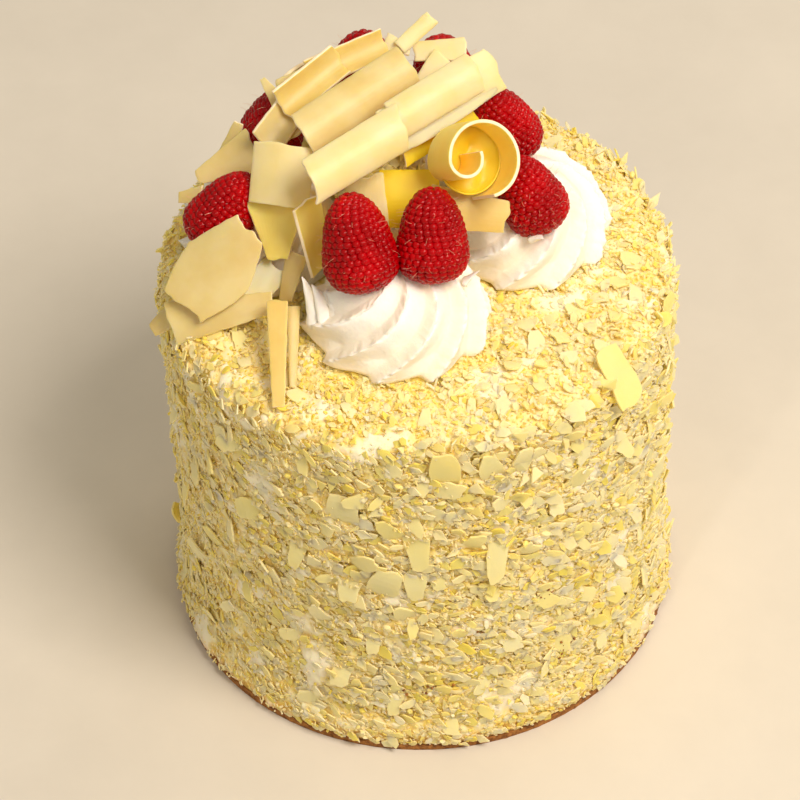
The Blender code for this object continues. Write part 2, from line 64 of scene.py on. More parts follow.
# Inputs and output of a Mix node that mixes colours, by their place in the node
MIX_A = 6
MIX_B = 7
MIX_RESULT = 2

# Settings of a range that takes the middle of a noise, where nearly all its values lie
MIDDLE_NOISE = {"From Min": 0.35, "From Max": 0.65}

# A colour and, where there is relief, its height
Sockets = tuple[NodeSocket, NodeSocket | None]

# The coated cake, as its solid has it
FOOT_RADIUS = 75.0
BASE_THICKNESS = 2.2
COAT_FOOT = 2.5
CAKE_HEIGHT = 128.6
RIM_ROUNDING = 5.0
SIDE_OUTLINE = ((74.2, 2.5), (74.6, 5.5), (72.4, 14.5), (71.2, 40.0), (72.2, 84.3), (72.6, 123.6))

# The piped rosettes, as their solids have them
TOPPING_CENTRE = (-5.5, 10.5)
ROSETTE_RING = 34.5
ROSETTE_RADIUS = 27.5
ROSETTE_HEIGHT = 24.0
ROSETTE_FOOT = 128.9
ROSETTE_SIDES = ("right", "back", "left", "front")

# How uneven the flakes, crumbs and large chips are, as shares of their size; a chip's
# outline is broken by noises of these scales and amounts
PLATE_CORNERS = (0.72, 1.22)
CRUMB_CORNERS = (0.7, 1.2)
SHAVING_TAPER = 0.35
CHIP_TAPER = 0.55
CHIP_CUT = 0.26
CHIP_BREAKS = ((2.2, 0.18), (10.0, 0.13))


def linear(code: str) -> tuple[float, float, float, float]:
    """Turn an sRGB hex colour into the linear colour that a shader takes.

    Args:
        code: six hex digits.

    Returns:
        Linear red, green, blue and an alpha of 1.
    """
    parts = [int(code[place:place + 2], 16) / 255.0 for place in (0, 2, 4)]
    red, green, blue = [c / 12.92 if c <= 0.04045 else ((c + 0.055) / 1.055) ** 2.4 for c in parts]
    return red, green, blue, 1.0


def per_mm(size: float) -> float:
    """Scale of a texture on coordinates in metres whose features are size millimetres wide."""
    return 1.0 / (size * MM)


def add_node(tree: NodeTree, kind: str, settings: dict | None = None, links: dict | None = None
             ) -> Node:
    """Add one shader node with its settings and links.

    Args:
        tree: the material's or world's node tree.
        kind: the node's type, without the words Shader Node that they all begin with.
        settings: values by property name, or by the name or number of an input.
        links: output sockets by the name or number of the input that they feed.

    Returns:
        The new node.
    """
    node = tree.nodes.new("ShaderNode" + kind)
    for name, value in (settings or {}).items():
        if isinstance(name, int) or name in node.inputs:
            node.inputs[name].default_value = value
        else:
            setattr(node, name, value)
    for name, socket in (links or {}).items():
        tree.links.new(socket, node.inputs[name])
    return node


def mottle(tree: NodeTree, place: Node, grain: dict, spread: dict, colours: tuple[str, str],
           tone: NodeSocket | None = None) -> Sockets:
    """Mix two colours by noise, shifted by the points' own tone where there is one.

    Args:
        tree: the material's node tree.
        place: its texture coordinates.
        grain: settings of the noise.
        spread: settings of the range that the noise is spread over.
        colours: hex colours at 0 and at 1.
        tone: what the spread noise is added to.

    Returns:
        The colour and the noise that it comes from.
    """
    cloud = add_node(tree, "TexNoise", grain, {"Vector": place.outputs["Object"]})
    share = add_node(tree, "MapRange", spread, {"Value": cloud.outputs["Fac"]})
    factor = share.outputs["Result"]
    if tone is not None:
        total = add_node(tree, "Math", {"operation": "ADD", "use_clamp": True},
                         {0: tone, 1: factor})
        factor = total.outputs["Value"]
    first, second = colours
    mixed = add_node(tree, "Mix",
                     {"data_type": "RGBA", MIX_A: linear(first), MIX_B: linear(second)},
                     {"Factor": factor})
    return mixed.outputs[MIX_RESULT], cloud.outputs["Fac"]


@dataclass(frozen=True, kw_only=True)
class Finish:
    """A real surface: its gloss, how light goes into it and how strong its relief is.

    glow is the share of light that goes in, spread how far each colour of it goes against
    the depth, and the depth and the relief are in millimetres. Each kind adds its pattern.
    """

    name: str
    roughness: float
    ior: float
    glow: float = 0.0
    spread: tuple[float, float, float] = (1.0, 0.8, 0.5)
    depth: float = 1.0
    strength: float = 0.5
    relief: float = 0.0

    def pattern(self, tree: NodeTree, place: Node) -> Sockets:
        """Add the nodes of its colour and relief; each kind has its own, and None is smooth."""
        raise NotImplementedError

    def material(self) -> Material:
        """Build the material.

        Returns:
            The material, with its pattern linked to one shader.
        """
        material = bpy.data.materials.new(self.name)
        material.use_nodes = True
        tree = material.node_tree
        tree.nodes.clear()
        colour, height = self.pattern(tree, add_node(tree, "TexCoord"))
        links = {"Base Color": colour}
        if height is not None:
            bump = add_node(tree, "Bump", {"Strength": self.strength, "Distance": self.relief * MM},
                            {"Height": height})
            links["Normal"] = bump.outputs["Normal"]
        shader = add_node(tree, "BsdfPrincipled", {
            "Roughness": self.roughness,
            "IOR": self.ior,
            "Subsurface Weight": self.glow,
            "Subsurface Radius": self.spread,
            "Subsurface Scale": self.depth * MM,
        }, links)
        add_node(tree, "OutputMaterial", links={"Surface": shader.outputs["BSDF"]})
        return material


@dataclass(frozen=True, kw_only=True)
class TemperedChocolate(Finish):
    """White chocolate shaved from a tempered block: cocoa butter, milk and sugar.

    It is dense and smooth with a satin skin, and lets light a few millimetres in, which
    comes back golden, so its folds glow yellow while its thin edges stay pale.
    """

    body: str
    cloud: str
    cloud_size: float = 11.0
    scrape_size: float = 0.9
    scrape_length: float = 14.0
    grain_size: float = 0.7
    grain_share: float = 0.45
    roughness: float = 0.42
    ior: float = 1.46
    glow: float = 0.7
    spread: tuple[float, float, float] = (1.0, 0.75, 0.2)
    depth: float = 3.0
    strength: float = 0.55
    relief: float = 0.06

    def pattern(self, tree: NodeTree, place: Node) -> Sockets:
        """Cloud the chocolate at random and scrape it lightly along its length.

        Args:
            tree: the material's node tree.
            place: its texture coordinates.

        Returns:
            The colour and the height.
        """
        colour, _ = mottle(tree, place, {"Scale": per_mm(self.cloud_size), "Detail": 3.0},
                           {"From Min": 0.38, "From Max": 0.68}, (self.body, self.cloud))
        # The UV map is in millimetres, its U along the way that the blade went
        stretched = add_node(tree, "Mapping",
                             {"Scale": (1.0 / self.scrape_length, 1.0 / self.scrape_size, 1.0)},
                             {"Vector": place.outputs["UV"]})
        scrapes = add_node(tree, "TexNoise", {"Scale": 1.0, "Detail": 2.0},
                           {"Vector": stretched.outputs["Vector"]})
        grain = add_node(tree, "TexNoise", {"Scale": per_mm(self.grain_size), "Detail": 3.0},
                         {"Vector": place.outputs["Object"]})
        height = add_node(tree, "Math", {"operation": "MULTIPLY_ADD", 1: self.grain_share},
                          {0: grain.outputs["Fac"], 2: scrapes.outputs["Fac"]})
        return colour, height.outputs["Value"]


@dataclass(frozen=True, kw_only=True)
class FlakedChocolate(Finish):
    """Small flakes of the same white chocolate, each a little paler or more golden.

    Their cut faces are duller than a curl's skin, light goes through the thin ones, and some
    are smeared with cream. A flake's tone runs from -1, smeared, over 0 to 1, golden.
    """

    pale: str = "FFECAE"
    golden: str = "FFDF60"
    smeared: str = "FFF1C4"
    patch_size: float = 26.0
    patch_shift: float = 0.30
    grain_size: float = 0.6
    roughness: float = 0.55
    ior: float = 1.42
    glow: float = 0.6
    spread: tuple[float, float, float] = (1.0, 0.85, 0.45)
    depth: float = 2.4
    relief: float = 0.08

    def pattern(self, tree: NodeTree, place: Node) -> Sockets:
        """Colour each flake by its tone and by broad patches.

        Args:
            tree: the material's node tree.
            place: its texture coordinates.

        Returns:
            The colour and the height.
        """
        tone = add_node(tree, "Attribute", {"attribute_name": "tone"})
        dry, _ = mottle(tree, place, {"Scale": per_mm(self.patch_size), "Detail": 2.0},
                        {"To Min": -self.patch_shift, "To Max": self.patch_shift},
                        (self.pale, self.golden), tone.outputs["Fac"])
        wet = add_node(tree, "Math", {"operation": "MULTIPLY", "use_clamp": True, 1: -1.0},
                       {0: tone.outputs["Fac"]})
        colour = add_node(tree, "Mix", {"data_type": "RGBA", MIX_B: linear(self.smeared)},
                          {"Factor": wet.outputs["Value"], MIX_A: dry})
        grain = add_node(tree, "TexNoise", {"Scale": per_mm(self.grain_size), "Detail": 3.0},
                         {"Vector": place.outputs["Object"]})
        return colour.outputs[MIX_RESULT], grain.outputs["Fac"]


@dataclass(frozen=True, kw_only=True)
class WhippedCream(Finish):
    """Whipped cream: fat and air, near white, soft and matt, with light deep inside it.

    Its bubbles are drawn coarser than real, so that they show as a faint grain. Its tone runs
    from 0, open, to 1, deep in a fold, where the shade colour is painted shade, and to 2, near
    the heap, where the cream is partly stained by the chocolate and partly given painted golden
    shade.
    """

    body: str = "FFFCF3"
    # The shade colour is painted shade in the folds; the stain colour, near the heap, is partly a
    # stain of the chocolate and partly painted golden shade
    shade: str = "FDF2DE"
    stain: str = "F8D982"
    bubble_size: float = 1.1
    roughness: float = 0.55
    ior: float = 1.42
    glow: float = 0.2
    depth: float = 1.5
    relief: float = 0.42

    def pattern(self, tree: NodeTree, place: Node) -> Sockets:
        """Paint shade into the folds, tint the cream near the heap with a stain and painted golden
        shade, and grain it with bubbles.

        Args:
            tree: the material's node tree.
            place: its texture coordinates.

        Returns:
            The colour and the height.
        """
        tone = add_node(tree, "Attribute", {"attribute_name": "tone"})
        fold = add_node(tree, "Mix",
                        {"data_type": "RGBA", MIX_A: linear(self.body), MIX_B: linear(self.shade)},
                        {"Factor": tone.outputs["Fac"]})
        # Past 1, near the heap: partly a stain of the chocolate, partly painted golden shade
        deep = add_node(tree, "Math", {"operation": "SUBTRACT", "use_clamp": True, 1: 1.0},
                        {0: tone.outputs["Fac"]})
        colour = add_node(tree, "Mix", {"data_type": "RGBA", MIX_B: linear(self.stain)},
                          {"Factor": deep.outputs["Value"], MIX_A: fold.outputs[MIX_RESULT]})
        bubbles = add_node(tree, "TexNoise",
                           {"Scale": per_mm(self.bubble_size), "Detail": 4.0, "Roughness": 0.6},
                           {"Vector": place.outputs["Object"]})
        return colour.outputs[MIX_RESULT], bubbles.outputs["Fac"]


@dataclass(frozen=True, kw_only=True)
class SmearedCream(Finish):
    """The cream and crumb under the flakes, yellow with chocolate, tinted by the base below.

    Its tone runs from 0, a hollow, to 1, clean cream; where it is low the stain colour is painted
    golden shade in the hollows, and a noise adds stains at random.
    """

    cream: str = "FFF3D2"
    # The stain colour is painted golden shade in the hollows, and a random stain where the noise
    # moves it
    stain: str = "FFE47E"
    baked: str = "D9923C"
    stain_size: float = 1.8
    stain_shift: float = 0.25
    tint_top: float = 7.5
    roughness: float = 0.6
    ior: float = 1.42
    glow: float = 0.35
    spread: tuple[float, float, float] = (1.0, 0.8, 0.3)
    depth: float = 2.0
    strength: float = 0.8
    relief: float = 0.30

    def pattern(self, tree: NodeTree, place: Node) -> Sockets:
        """Paint golden shade into the cream's hollows, stain it at random, and tint it towards the
        foot.

        Args:
            tree: the material's node tree.
            place: its texture coordinates.

        Returns:
            The colour and the height.
        """
        tone = add_node(tree, "Attribute", {"attribute_name": "tone"})
        clean, stains = mottle(
            tree, place, {"Scale": per_mm(self.stain_size), "Detail": 4.0, "Roughness": 0.6},
            {**MIDDLE_NOISE, "To Min": -self.stain_shift, "To Max": self.stain_shift},
            (self.stain, self.cream), tone.outputs["Fac"])
        split = add_node(tree, "SeparateXYZ", links={"Vector": place.outputs["Object"]})
        low = add_node(tree, "MapRange",
                       {"From Min": self.tint_top * MM, "From Max": COAT_FOOT * MM},
                       {"Value": split.outputs["Z"]})
        tint = add_node(tree, "Math", {"operation": "MULTIPLY", "use_clamp": True},
                        {0: low.outputs["Result"], 1: stains})
        colour = add_node(tree, "Mix", {"data_type": "RGBA", MIX_B: linear(self.baked)},
                          {"Factor": tint.outputs["Value"], MIX_A: clean})
        return colour.outputs[MIX_RESULT], stains


@dataclass(frozen=True, kw_only=True)
class BerryJuice(Finish):
    """The skin of a ripe raspberry: thin, moist and glossy over red juice.

    Its tone runs from 0, the top of a drupelet, to 1, its root, which is painted darker as shade
    between the drupelets.
    """

    ripe: str = "9A0005"
    # The dark colour is painted shade at the drupelets' roots and on the core between them
    dark: str = "820006"
    bright: str = "B80008"
    patch_size: float = 9.0
    roughness: float = 0.13
    ior: float = 1.30
    glow: float = 0.25
    spread: tuple[float, float, float] = (1.0, 0.08, 0.05)
    depth: float = 1.6

    def pattern(self, tree: NodeTree, place: Node) -> Sockets:
        """Brighten the skin in patches, and paint shade at the roots; its relief is in the mesh.

        Args:
            tree: the material's node tree.
            place: its texture coordinates.

        Returns:
            The colour and None.
        """
        skin, _ = mottle(tree, place, {"Scale": per_mm(self.patch_size), "Detail": 2.0},
                         {"From Min": 0.40, "From Max": 0.66}, (self.ripe, self.bright))
        tone = add_node(tree, "Attribute", {"attribute_name": "tone"})
        colour = add_node(tree, "Mix", {"data_type": "RGBA", MIX_B: linear(self.dark)},
                          {"Factor": tone.outputs["Fac"], MIX_A: skin})
        return colour.outputs[MIX_RESULT], None


@dataclass(frozen=True, kw_only=True)
class PlainFinish(Finish):
    """A small or supporting surface: one colour with a fine mottle and grain."""

    light: str
    dark: str
    mottle_size: float
    ior: float = 1.45
    strength: float = 0.8

    def pattern(self, tree: NodeTree, place: Node) -> Sockets:
        """Mottle the surface, its relief by the same noise."""
        return mottle(tree, place,
                      {"Scale": per_mm(self.mottle_size), "Detail": 5.0, "Roughness": 0.65},
                      MIDDLE_NOISE, (self.light, self.dark))


class LitShadeTone(Enum):
    """Lit and shaded copies of the sheets' one white chocolate: painted light and shade, each pair
    of colours standing for how the light reaches a sheet.
    """

    IVORY = ("F1DDAA", "EBD594")
    STRAW = ("E2CE93", "DAC27D")
    HONEY = ("FFE07A", "FBD666")
    AMBER = ("E6C97A", "DBBB64")
    GOLDEN = ("FFD824", "FFCB14")
    DEEP = ("F9CE34", "F3C024")
    PALE = ("FBEFC8", "F6E6B2")


@dataclass
class Shape:
    """A small closed shape that is repeated: its points and its triangles."""

    points: np.ndarray
    faces: np.ndarray


@dataclass
class JoinedMesh:
    """Many shapes that become one mesh, each with its own tone and finish."""

    points: list = field(default_factory=list)
    faces: list = field(default_factory=list)
    finishes: list = field(default_factory=list)
    tones: list = field(default_factory=list)
    count: int = 0

    def add(self, shape: Shape, axes: np.ndarray, places: np.ndarray, tones: np.ndarray,
            finish: int = 0) -> None:
        """Add one copy of a shape for each place.

        Args:
            shape: the shape that is repeated.
            axes: for each copy, a 3 by 3 matrix whose columns are its scaled axes.
            places: for each copy, where its origin goes.
            tones: for each copy, one value, or one value for each of its points.
            finish: number of the material slot.
        """
        copies = len(places)
        size = len(shape.points)
        points = np.einsum("nij,pj->npi", axes, shape.points) + places[:, None, :]
        offsets = self.count + np.arange(copies) * size
        faces = shape.faces[None, :, :] + offsets[:, None, None]
        self.points.append(points.reshape(-1, 3))
        self.faces.append(faces.reshape(-1, 3))
        self.finishes.append(np.full(copies * len(shape.faces), finish))
        self.tones.append(np.broadcast_to(tones.reshape(copies, -1), (copies, size)).reshape(-1))
        self.count += copies * size

    def mesh(self, name: str) -> Mesh:
        """Join what was added.

        Args:
            name: the mesh's name.

        Returns:
            One mesh in millimetres, with a tone attribute.
        """
        points = np.concatenate(self.points)
        faces = np.concatenate(self.faces)
        mesh = bpy.data.meshes.new(name)
        mesh.vertices.add(len(points))
        mesh.vertices.foreach_set("co", points.astype(np.float32).ravel())
        mesh.loops.add(faces.size)
        mesh.loops.foreach_set("vertex_index", faces.astype(np.int32).ravel())
        mesh.polygons.add(len(faces))
        mesh.polygons.foreach_set("loop_start", np.arange(0, faces.size, 3, dtype=np.int32))
        mesh.polygons.foreach_set("material_index", np.concatenate(self.finishes).astype(np.int32))
        mesh.update(calc_edges=True)
        add_tone(mesh, np.concatenate(self.tones))
        return mesh


def add_tone(mesh: Mesh, values: np.ndarray) -> None:
    """Store one tone for each point of a mesh."""
    tone = mesh.attributes.new("tone", "FLOAT", "POINT")
    tone.data.foreach_set("value", values.astype(np.float32))


def shape_of(bm: BMesh) -> Shape:
    """Read a small mesh as a shape, and free it.

    Args:
        bm: the mesh, closed or not.

    Returns:
        Its points and triangles.
    """
    bmesh.ops.recalc_face_normals(bm, faces=bm.faces)
    bmesh.ops.triangulate(bm, faces=bm.faces[:])
    bm.verts.index_update()
    points = np.array([vert.co[:] for vert in bm.verts])
    faces = np.array([[vert.index for vert in face.verts] for face in bm.faces])
    bm.free()
    return Shape(points, faces)


def linked(name: str, data: ID) -> Object:
    """Put a mesh, a light or a camera in the scene.

    Args:
        name: the object's name.
        data: what it shows.

    Returns:
        The new object.
    """
    obj = bpy.data.objects.new(name, data)
    bpy.context.scene.collection.objects.link(obj)
    return obj


def piece(name: str, mesh: Mesh, finishes: list[Material], nodes: tuple[str, ...],
          smooth: bool = True) -> Object:
    """Turn a mesh in millimetres into a finished piece that stands for its solids.

    Args:
        name: the piece's name.
        mesh: its mesh, in place.
        finishes: its materials, in slot order.
        nodes: the solids that it replaces.
        smooth: whether it is shaded smooth.

    Returns:
        The new object.
    """
    mesh.transform(Matrix.Scale(MM, 4))
    for finish in finishes:
        mesh.materials.append(finish)
    if smooth:
        mesh.shade_smooth()
    else:
        mesh.shade_flat()
    obj = linked(name, mesh)
    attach(obj, "root")
    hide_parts(*nodes)
    return obj


def mesh_of(name: str, bm: BMesh) -> Mesh:
    """Make a mesh from a bmesh, and free the bmesh.

    Args:
        name: the mesh's name.
        bm: the bmesh.

    Returns:
        The mesh.
    """
    mesh = bpy.data.meshes.new(name)
    bm.to_mesh(mesh)
    bm.free()
    return mesh


def middle_of(low: Vector, high: Vector) -> Vector:
    """Middle of a box in metres, in millimetres."""
    return (low + high) / (2.0 * MM)


def move_onto(obj: Object, node: str) -> None:
    """Move a piece's mesh so that the middle of its box is that of its solid.

    Args:
        obj: the piece, its modifiers included.
        node: the solid.
    """
    shown = obj.evaluated_get(bpy.context.evaluated_depsgraph_get())
    corners = [Vector(corner) for corner in shown.bound_box]
    low = Vector([min(corner[axis] for corner in corners) for axis in range(3)])
    high = Vector([max(corner[axis] for corner in corners) for axis in range(3)])
    shift = (middle_of(*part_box(node)) - middle_of(low, high)) * MM
    obj.data.transform(Matrix.Translation(shift))


def direction(azimuth: float, elevation: float) -> Vector:
    """Unit vector of a direction.

    Args:
        azimuth: its angle round +Z from +X, in degrees.
        elevation: its angle above level, in degrees.

    Returns:
        The vector.
    """
    az = math.radians(azimuth)
    el = math.radians(elevation)
    return Vector((math.cos(az) * math.cos(el), math.sin(az) * math.cos(el), math.sin(el)))


def turned_frame(facing: tuple[float, float], turn: float = 0.0) -> Matrix:
    """Rotation whose Z faces out and whose X is turned in that plane.

    Args:
        facing: azimuth and elevation of Z in degrees.
        turn: angle of X above the level direction, in degrees.

    Returns:
        The rotation as a 4 by 4 matrix.
    """
    out = direction(*facing)
    level = Vector((0.0, 0.0, 1.0)).cross(out).normalized()
    rise = out.cross(level)
    angle = math.radians(turn)
    along = level * math.cos(angle) + rise * math.sin(angle)
    return Matrix((along, out.cross(along), out)).transposed().to_4x4()


def turned_solid(profile: list[tuple[float, float]], segments: int) -> BMesh:
    """Closed solid of revolution, from a sphere whose rings take the profile.

    Args:
        profile: radius and height of each ring, from the foot to the top.
        segments: number of points round it.

    Returns:
        The solid, closed on its axis at the first and last heights.
    """
    rings = len(profile) + 1
    bm = bmesh.new()
    bmesh.ops.create_uvsphere(bm, u_segments=segments, v_segments=rings, radius=1.0)
    for vert in bm.verts:
        ring = round(math.acos(max(-1.0, min(1.0, -vert.co.z))) / math.pi * rings)
        radius, height = profile[min(max(ring, 1), rings - 1) - 1]
        if ring in (0, rings):
            radius = 0.0
        spoke = Vector((vert.co.x, vert.co.y, 0.0))
        if spoke.length > 0.0:
            spoke.normalize()
        vert.co = Vector((spoke.x * radius, spoke.y * radius, height))
    return bm


def rosette_centre(number: int) -> Vector:
    """Middle of a rosette's foot; 0 is the right one, then back, left and front."""
    around = number * math.pi / 2.0
    return Vector((
        TOPPING_CENTRE[0] + ROSETTE_RING * math.cos(around),
        TOPPING_CENTRE[1] + ROSETTE_RING * math.sin(around),
        ROSETTE_FOOT,
    ))


class Outline:
    """The coated cake's outline, measured along its skin from the foot to the top's middle."""

    RIM_STEPS = 8

    def __init__(self) -> None:
        """Lay the side, the rounded rim and the top end to end."""
        spots = list(SIDE_OUTLINE)
        lifts = [0.0] * len(spots)
        middle = SIDE_OUTLINE[-1][0] - RIM_ROUNDING
        for step in range(1, self.RIM_STEPS + 1):
            angle = math.pi / 2.0 * step / self.RIM_STEPS
            spots.append((middle + RIM_ROUNDING * math.cos(angle),
                          CAKE_HEIGHT - RIM_ROUNDING + RIM_ROUNDING * math.sin(angle)))
            lifts.append(math.degrees(angle))
        spots.append((0.0, CAKE_HEIGHT))
        lifts.append(90.0)
        self.spots = np.array(spots)
        self.lifts = np.array(lifts)
        steps = np.linalg.norm(np.diff(self.spots, axis=0), axis=1)
        self.way = np.concatenate([[0.0], np.cumsum(steps)])
        self.side_end = self.way[len(SIDE_OUTLINE) - 1]

    def at(self, way: np.ndarray) -> tuple[np.ndarray, np.ndarray, np.ndarray]:
        """Radius, height and the lift of the outward direction at distances along the skin.

        Args:
            way: distances from the foot.

        Returns:
            Radii, heights and lifts above level, the lifts in radians.
        """
        radius = np.interp(way, self.way, self.spots[:, 0])
        height = np.interp(way, self.way, self.spots[:, 1])
        return radius, height, np.radians(np.interp(way, self.way, self.lifts))

    def spread(self, count: int) -> np.ndarray:
        """Distances along the skin that share its area evenly.

        Args:
            count: how many.

        Returns:
            The distances, from the foot up.
        """
        fine = np.linspace(0.0, self.way[-1], 2000)
        radius = self.at(fine)[0]
        area = np.concatenate([[0.0], np.cumsum((radius[1:] + radius[:-1]) / 2.0 * np.diff(fine))])
        shares = (np.arange(count) + 0.5) / count * area[-1]
        return np.interp(shares, area, fine)


def unit_frames(out: np.ndarray, spin: np.ndarray, tilt: np.ndarray) -> np.ndarray:
    """Frames that stand on a skin, each spun about its normal and tipped up at one end.

    Args:
        out: outward unit vectors.
        spin: turn about the normal, in radians.
        tilt: how far the far end is tipped up, in radians.

    Returns:
        For each, a 3 by 3 matrix whose columns are along, across and out.
    """
    upright = np.where(np.abs(out[:, 2:3]) > 0.99, [[0.0, 1.0, 0.0]], [[0.0, 0.0, 1.0]])
    level = np.cross(upright, out)
    level /= np.linalg.norm(level, axis=1, keepdims=True)
    rise = np.cross(out, level)
    along = np.cos(spin)[:, None] * level + np.sin(spin)[:, None] * rise
    across = np.cross(out, along)
    lean = np.cos(tilt)[:, None]
    lift = np.sin(tilt)[:, None]
    return np.stack([lean * along + lift * out, across, lean * out - lift * along], axis=2)


def thicken(bm: BMesh, thickness: float) -> None:
    """Raise a flat shape's faces into a solid.

    Args:
        bm: the flat shape.
        thickness: how far they rise.
    """
    solid = bmesh.ops.extrude_face_region(bm, geom=bm.faces[:])["geom"]
    top = [part for part in solid if isinstance(part, BMVert)]
    bmesh.ops.translate(bm, vec=(0.0, 0.0, thickness), verts=top)


def rising_edges(bm: BMesh) -> list[BMEdge]:
    """Edges that run up a cone one unit tall."""
    return [edge for edge in bm.edges if abs(edge.verts[0].co.z - edge.verts[1].co.z) > 0.5]


def plate_shape(corners: int, thickness: float, bend: float, draw: random.Random) -> Shape:
    """A broken flat flake about one unit across, bent a little along its length.

    Args:
        corners: number of its corners.
        thickness: its thickness, as a share of its size.
        bend: how far its two ends drop, as a share of its size.
        draw: source of its uneven corners.

    Returns:
        The closed shape.
    """
    bm = bmesh.new()
    rim = bmesh.ops.create_circle(bm, cap_ends=True, radius=0.5, segments=corners)["verts"]
    for vert in rim:
        vert.co *= draw.uniform(*PLATE_CORNERS)
    thicken(bm, thickness)
    for vert in bm.verts:
        vert.co.z -= bend * 4.0 * vert.co.x ** 2
    return shape_of(bm)


def curl_shape(thickness: float, bend: float, width: float) -> Shape:
    """A narrow shaving one unit long, curled along its length.

    Args:
        thickness: its thickness, as a share of its length.
        bend: the angle that it curls through, in radians.
        width: its width, as a share of its length.

    Returns:
        The closed shape.
    """
    bm = bmesh.new()
    bmesh.ops.create_grid(bm, x_segments=3, y_segments=1, size=0.5)
    for vert in bm.verts:
        angle = vert.co.x * bend
        narrow = 1.0 - SHAVING_TAPER * (vert.co.x + 0.5)
        vert.co = Vector((math.sin(angle) / bend, vert.co.y * width * narrow,
                          (math.cos(angle) - 1.0) / bend))
    bmesh.ops.recalc_face_normals(bm, faces=bm.faces)
    bmesh.ops.solidify(bm, geom=bm.faces[:], thickness=thickness)
    return shape_of(bm)


def crumb_shape(draw: random.Random) -> Shape:
    """An uneven crumb about one unit across.

    Args:
        draw: source of its unevenness.

    Returns:
        The closed shape.
    """
    bm = bmesh.new()
    bmesh.ops.create_icosphere(bm, subdivisions=1, radius=0.5)
    for vert in bm.verts:
        vert.co *= draw.uniform(*CRUMB_CORNERS)
    return shape_of(bm)


def chip_shape(draw: random.Random, thickness: float, bend: float, broken: float) -> Shape:
    """A large chip one unit long and wide: tapered, bent, its outline broken unevenly.

    Args:
        draw: source of its uneven outline.
        thickness: its thickness, as a share of its size.
        bend: the angle that it curls through, in radians.
        broken: how far its outline strays, as a share of the most.

    Returns:
        The closed shape.
    """
    seed = draw.uniform(0.0, 50.0)
    taper = draw.uniform(0.0, CHIP_TAPER)
    cuts = [draw.uniform(0.0, CHIP_CUT) for _ in range(4)]
    bm = bmesh.new()
    bmesh.ops.create_grid(bm, x_segments=6, y_segments=4, size=0.5)
    for vert in bm.verts:
        cut = cuts[2 * (vert.co.x > 0.0) + (vert.co.y > 0.0)]
        cut *= abs(4.0 * vert.co.x * vert.co.y) ** 2
        x = vert.co.x * (1.0 - cut)
        y = vert.co.y * (1.0 - cut)
        out = broken * (max(abs(x), abs(y)) * 2.0) ** 2
        for size, amount in CHIP_BREAKS:
            spot = (vert.co.x * size, vert.co.y * size)
            x += amount * out * noise.noise(Vector((*spot, seed)))
            y += amount * out * noise.noise(Vector((*spot, seed + 9.0)))
        vert.co = Vector((x, y * (1.0 - taper * (x + 0.5)), 0.0))
    thicken(bm, thickness)
    for vert in bm.verts:
        angle = vert.co.x * bend
        radius = 1.0 / bend + vert.co.z
        vert.co = Vector((math.sin(angle) * radius, vert.co.y,
                          math.cos(angle) * radius - 1.0 / bend))
    return shape_of(bm)


# Large chips that the picture shows: azimuth, height, length, width, turn and tilt of each
SEEN_CHIPS = (
    (-107.4, 99.5, 16.0, 9.5, 84.0, 12.0),
    (-84.9, 120.5, 15.0, 10.0, 88.0, 10.0),
    (-91.1, 87.8, 17.0, 8.5, -84.0, 9.0),
    (-98.8, 72.3, 14.0, 9.5, 70.0, 10.0),
    (-73.8, 79.8, 16.0, 7.0, -98.0, 12.0),
    (-91.9, 72.2, 12.0, 7.5, -90.0, 6.0),
    (-97.1, 94.6, 12.0, 7.0, 120.0, 14.0),
    (-104.0, 79.6, 13.0, 8.0, 35.0, 24.0),
    (-67.7, 119.5, 10.0, 6.5, 80.0, 16.0),
    (-75.0, 118.5, 11.0, 9.0, 100.0, 8.0),
    (-128.7, 64.9, 8.5, 5.5, 40.0, 38.0),
    (-53.8, 99.1, 11.0, 8.0, 60.0, 16.0),
    (-138.4, 108.1, 12.0, 6.5, 100.0, 12.0),
    (-39.5, 126.8, 18.0, 11.5, 84.0, 0.0),
)

# Where the cake's crumb shows through: azimuth, height, number of specks and their reach
CRUMB_SPOTS = (
    (-63.2, 55.9, 16, 3.5),
    (-89.2, 26.3, 12, 3.0),
    (-56.3, 28.0, 14, 4.0),
    (-20.7, 11.7, 10, 1.2),
    (-75.0, 48.0, 8, 5.0),
)

# The rule by which the solid's large chips are placed
CHIPS_ON_SIDE = 160
CHIPS_ON_TOP = 48
CHIP_LENGTH = (7.0, 13.0)
CHIP_WIDTH = (5.0, 8.5)
CHIP_LENGTH_RANGE = (0.9, 1.1)
CHIP_WIDTH_RANGE = (0.85, 1.15)
CHIP_TILT = (14.0, 34.0)
CHIP_LOW = 9.0
CHIP_HIGH = 121.6
CHIP_OUT = 0.2
CHIP_TOP_REACH = 64.4
CHIP_TOP_TRIES = 192
CHIP_TOP_FACING = 89.9
CHIP_TOP_SCALE = 0.8
CHIP_MARGIN = 7.0

# A large chip's place, length and width
ChipPlace = tuple[Matrix, float, float]


def side_radius(height: float) -> float:
    """Radius of the coated side at a height."""
    radii, heights = zip(*SIDE_OUTLINE)
    return float(np.interp(height, heights, radii))


def chip_size(share: float, draw: random.Random) -> tuple[float, float]:
    """Length and width of a large chip; the first ones are the largest.

    Args:
        share: its rank, from 0 for the largest to 1.
        draw: source of its uneven size.

    Returns:
        Length and width.
    """
    length = CHIP_LENGTH[1] + (CHIP_LENGTH[0] - CHIP_LENGTH[1]) * share
    width = CHIP_WIDTH[1] + (CHIP_WIDTH[0] - CHIP_WIDTH[1]) * share
    return length * draw.uniform(*CHIP_LENGTH_RANGE), width * draw.uniform(*CHIP_WIDTH_RANGE)


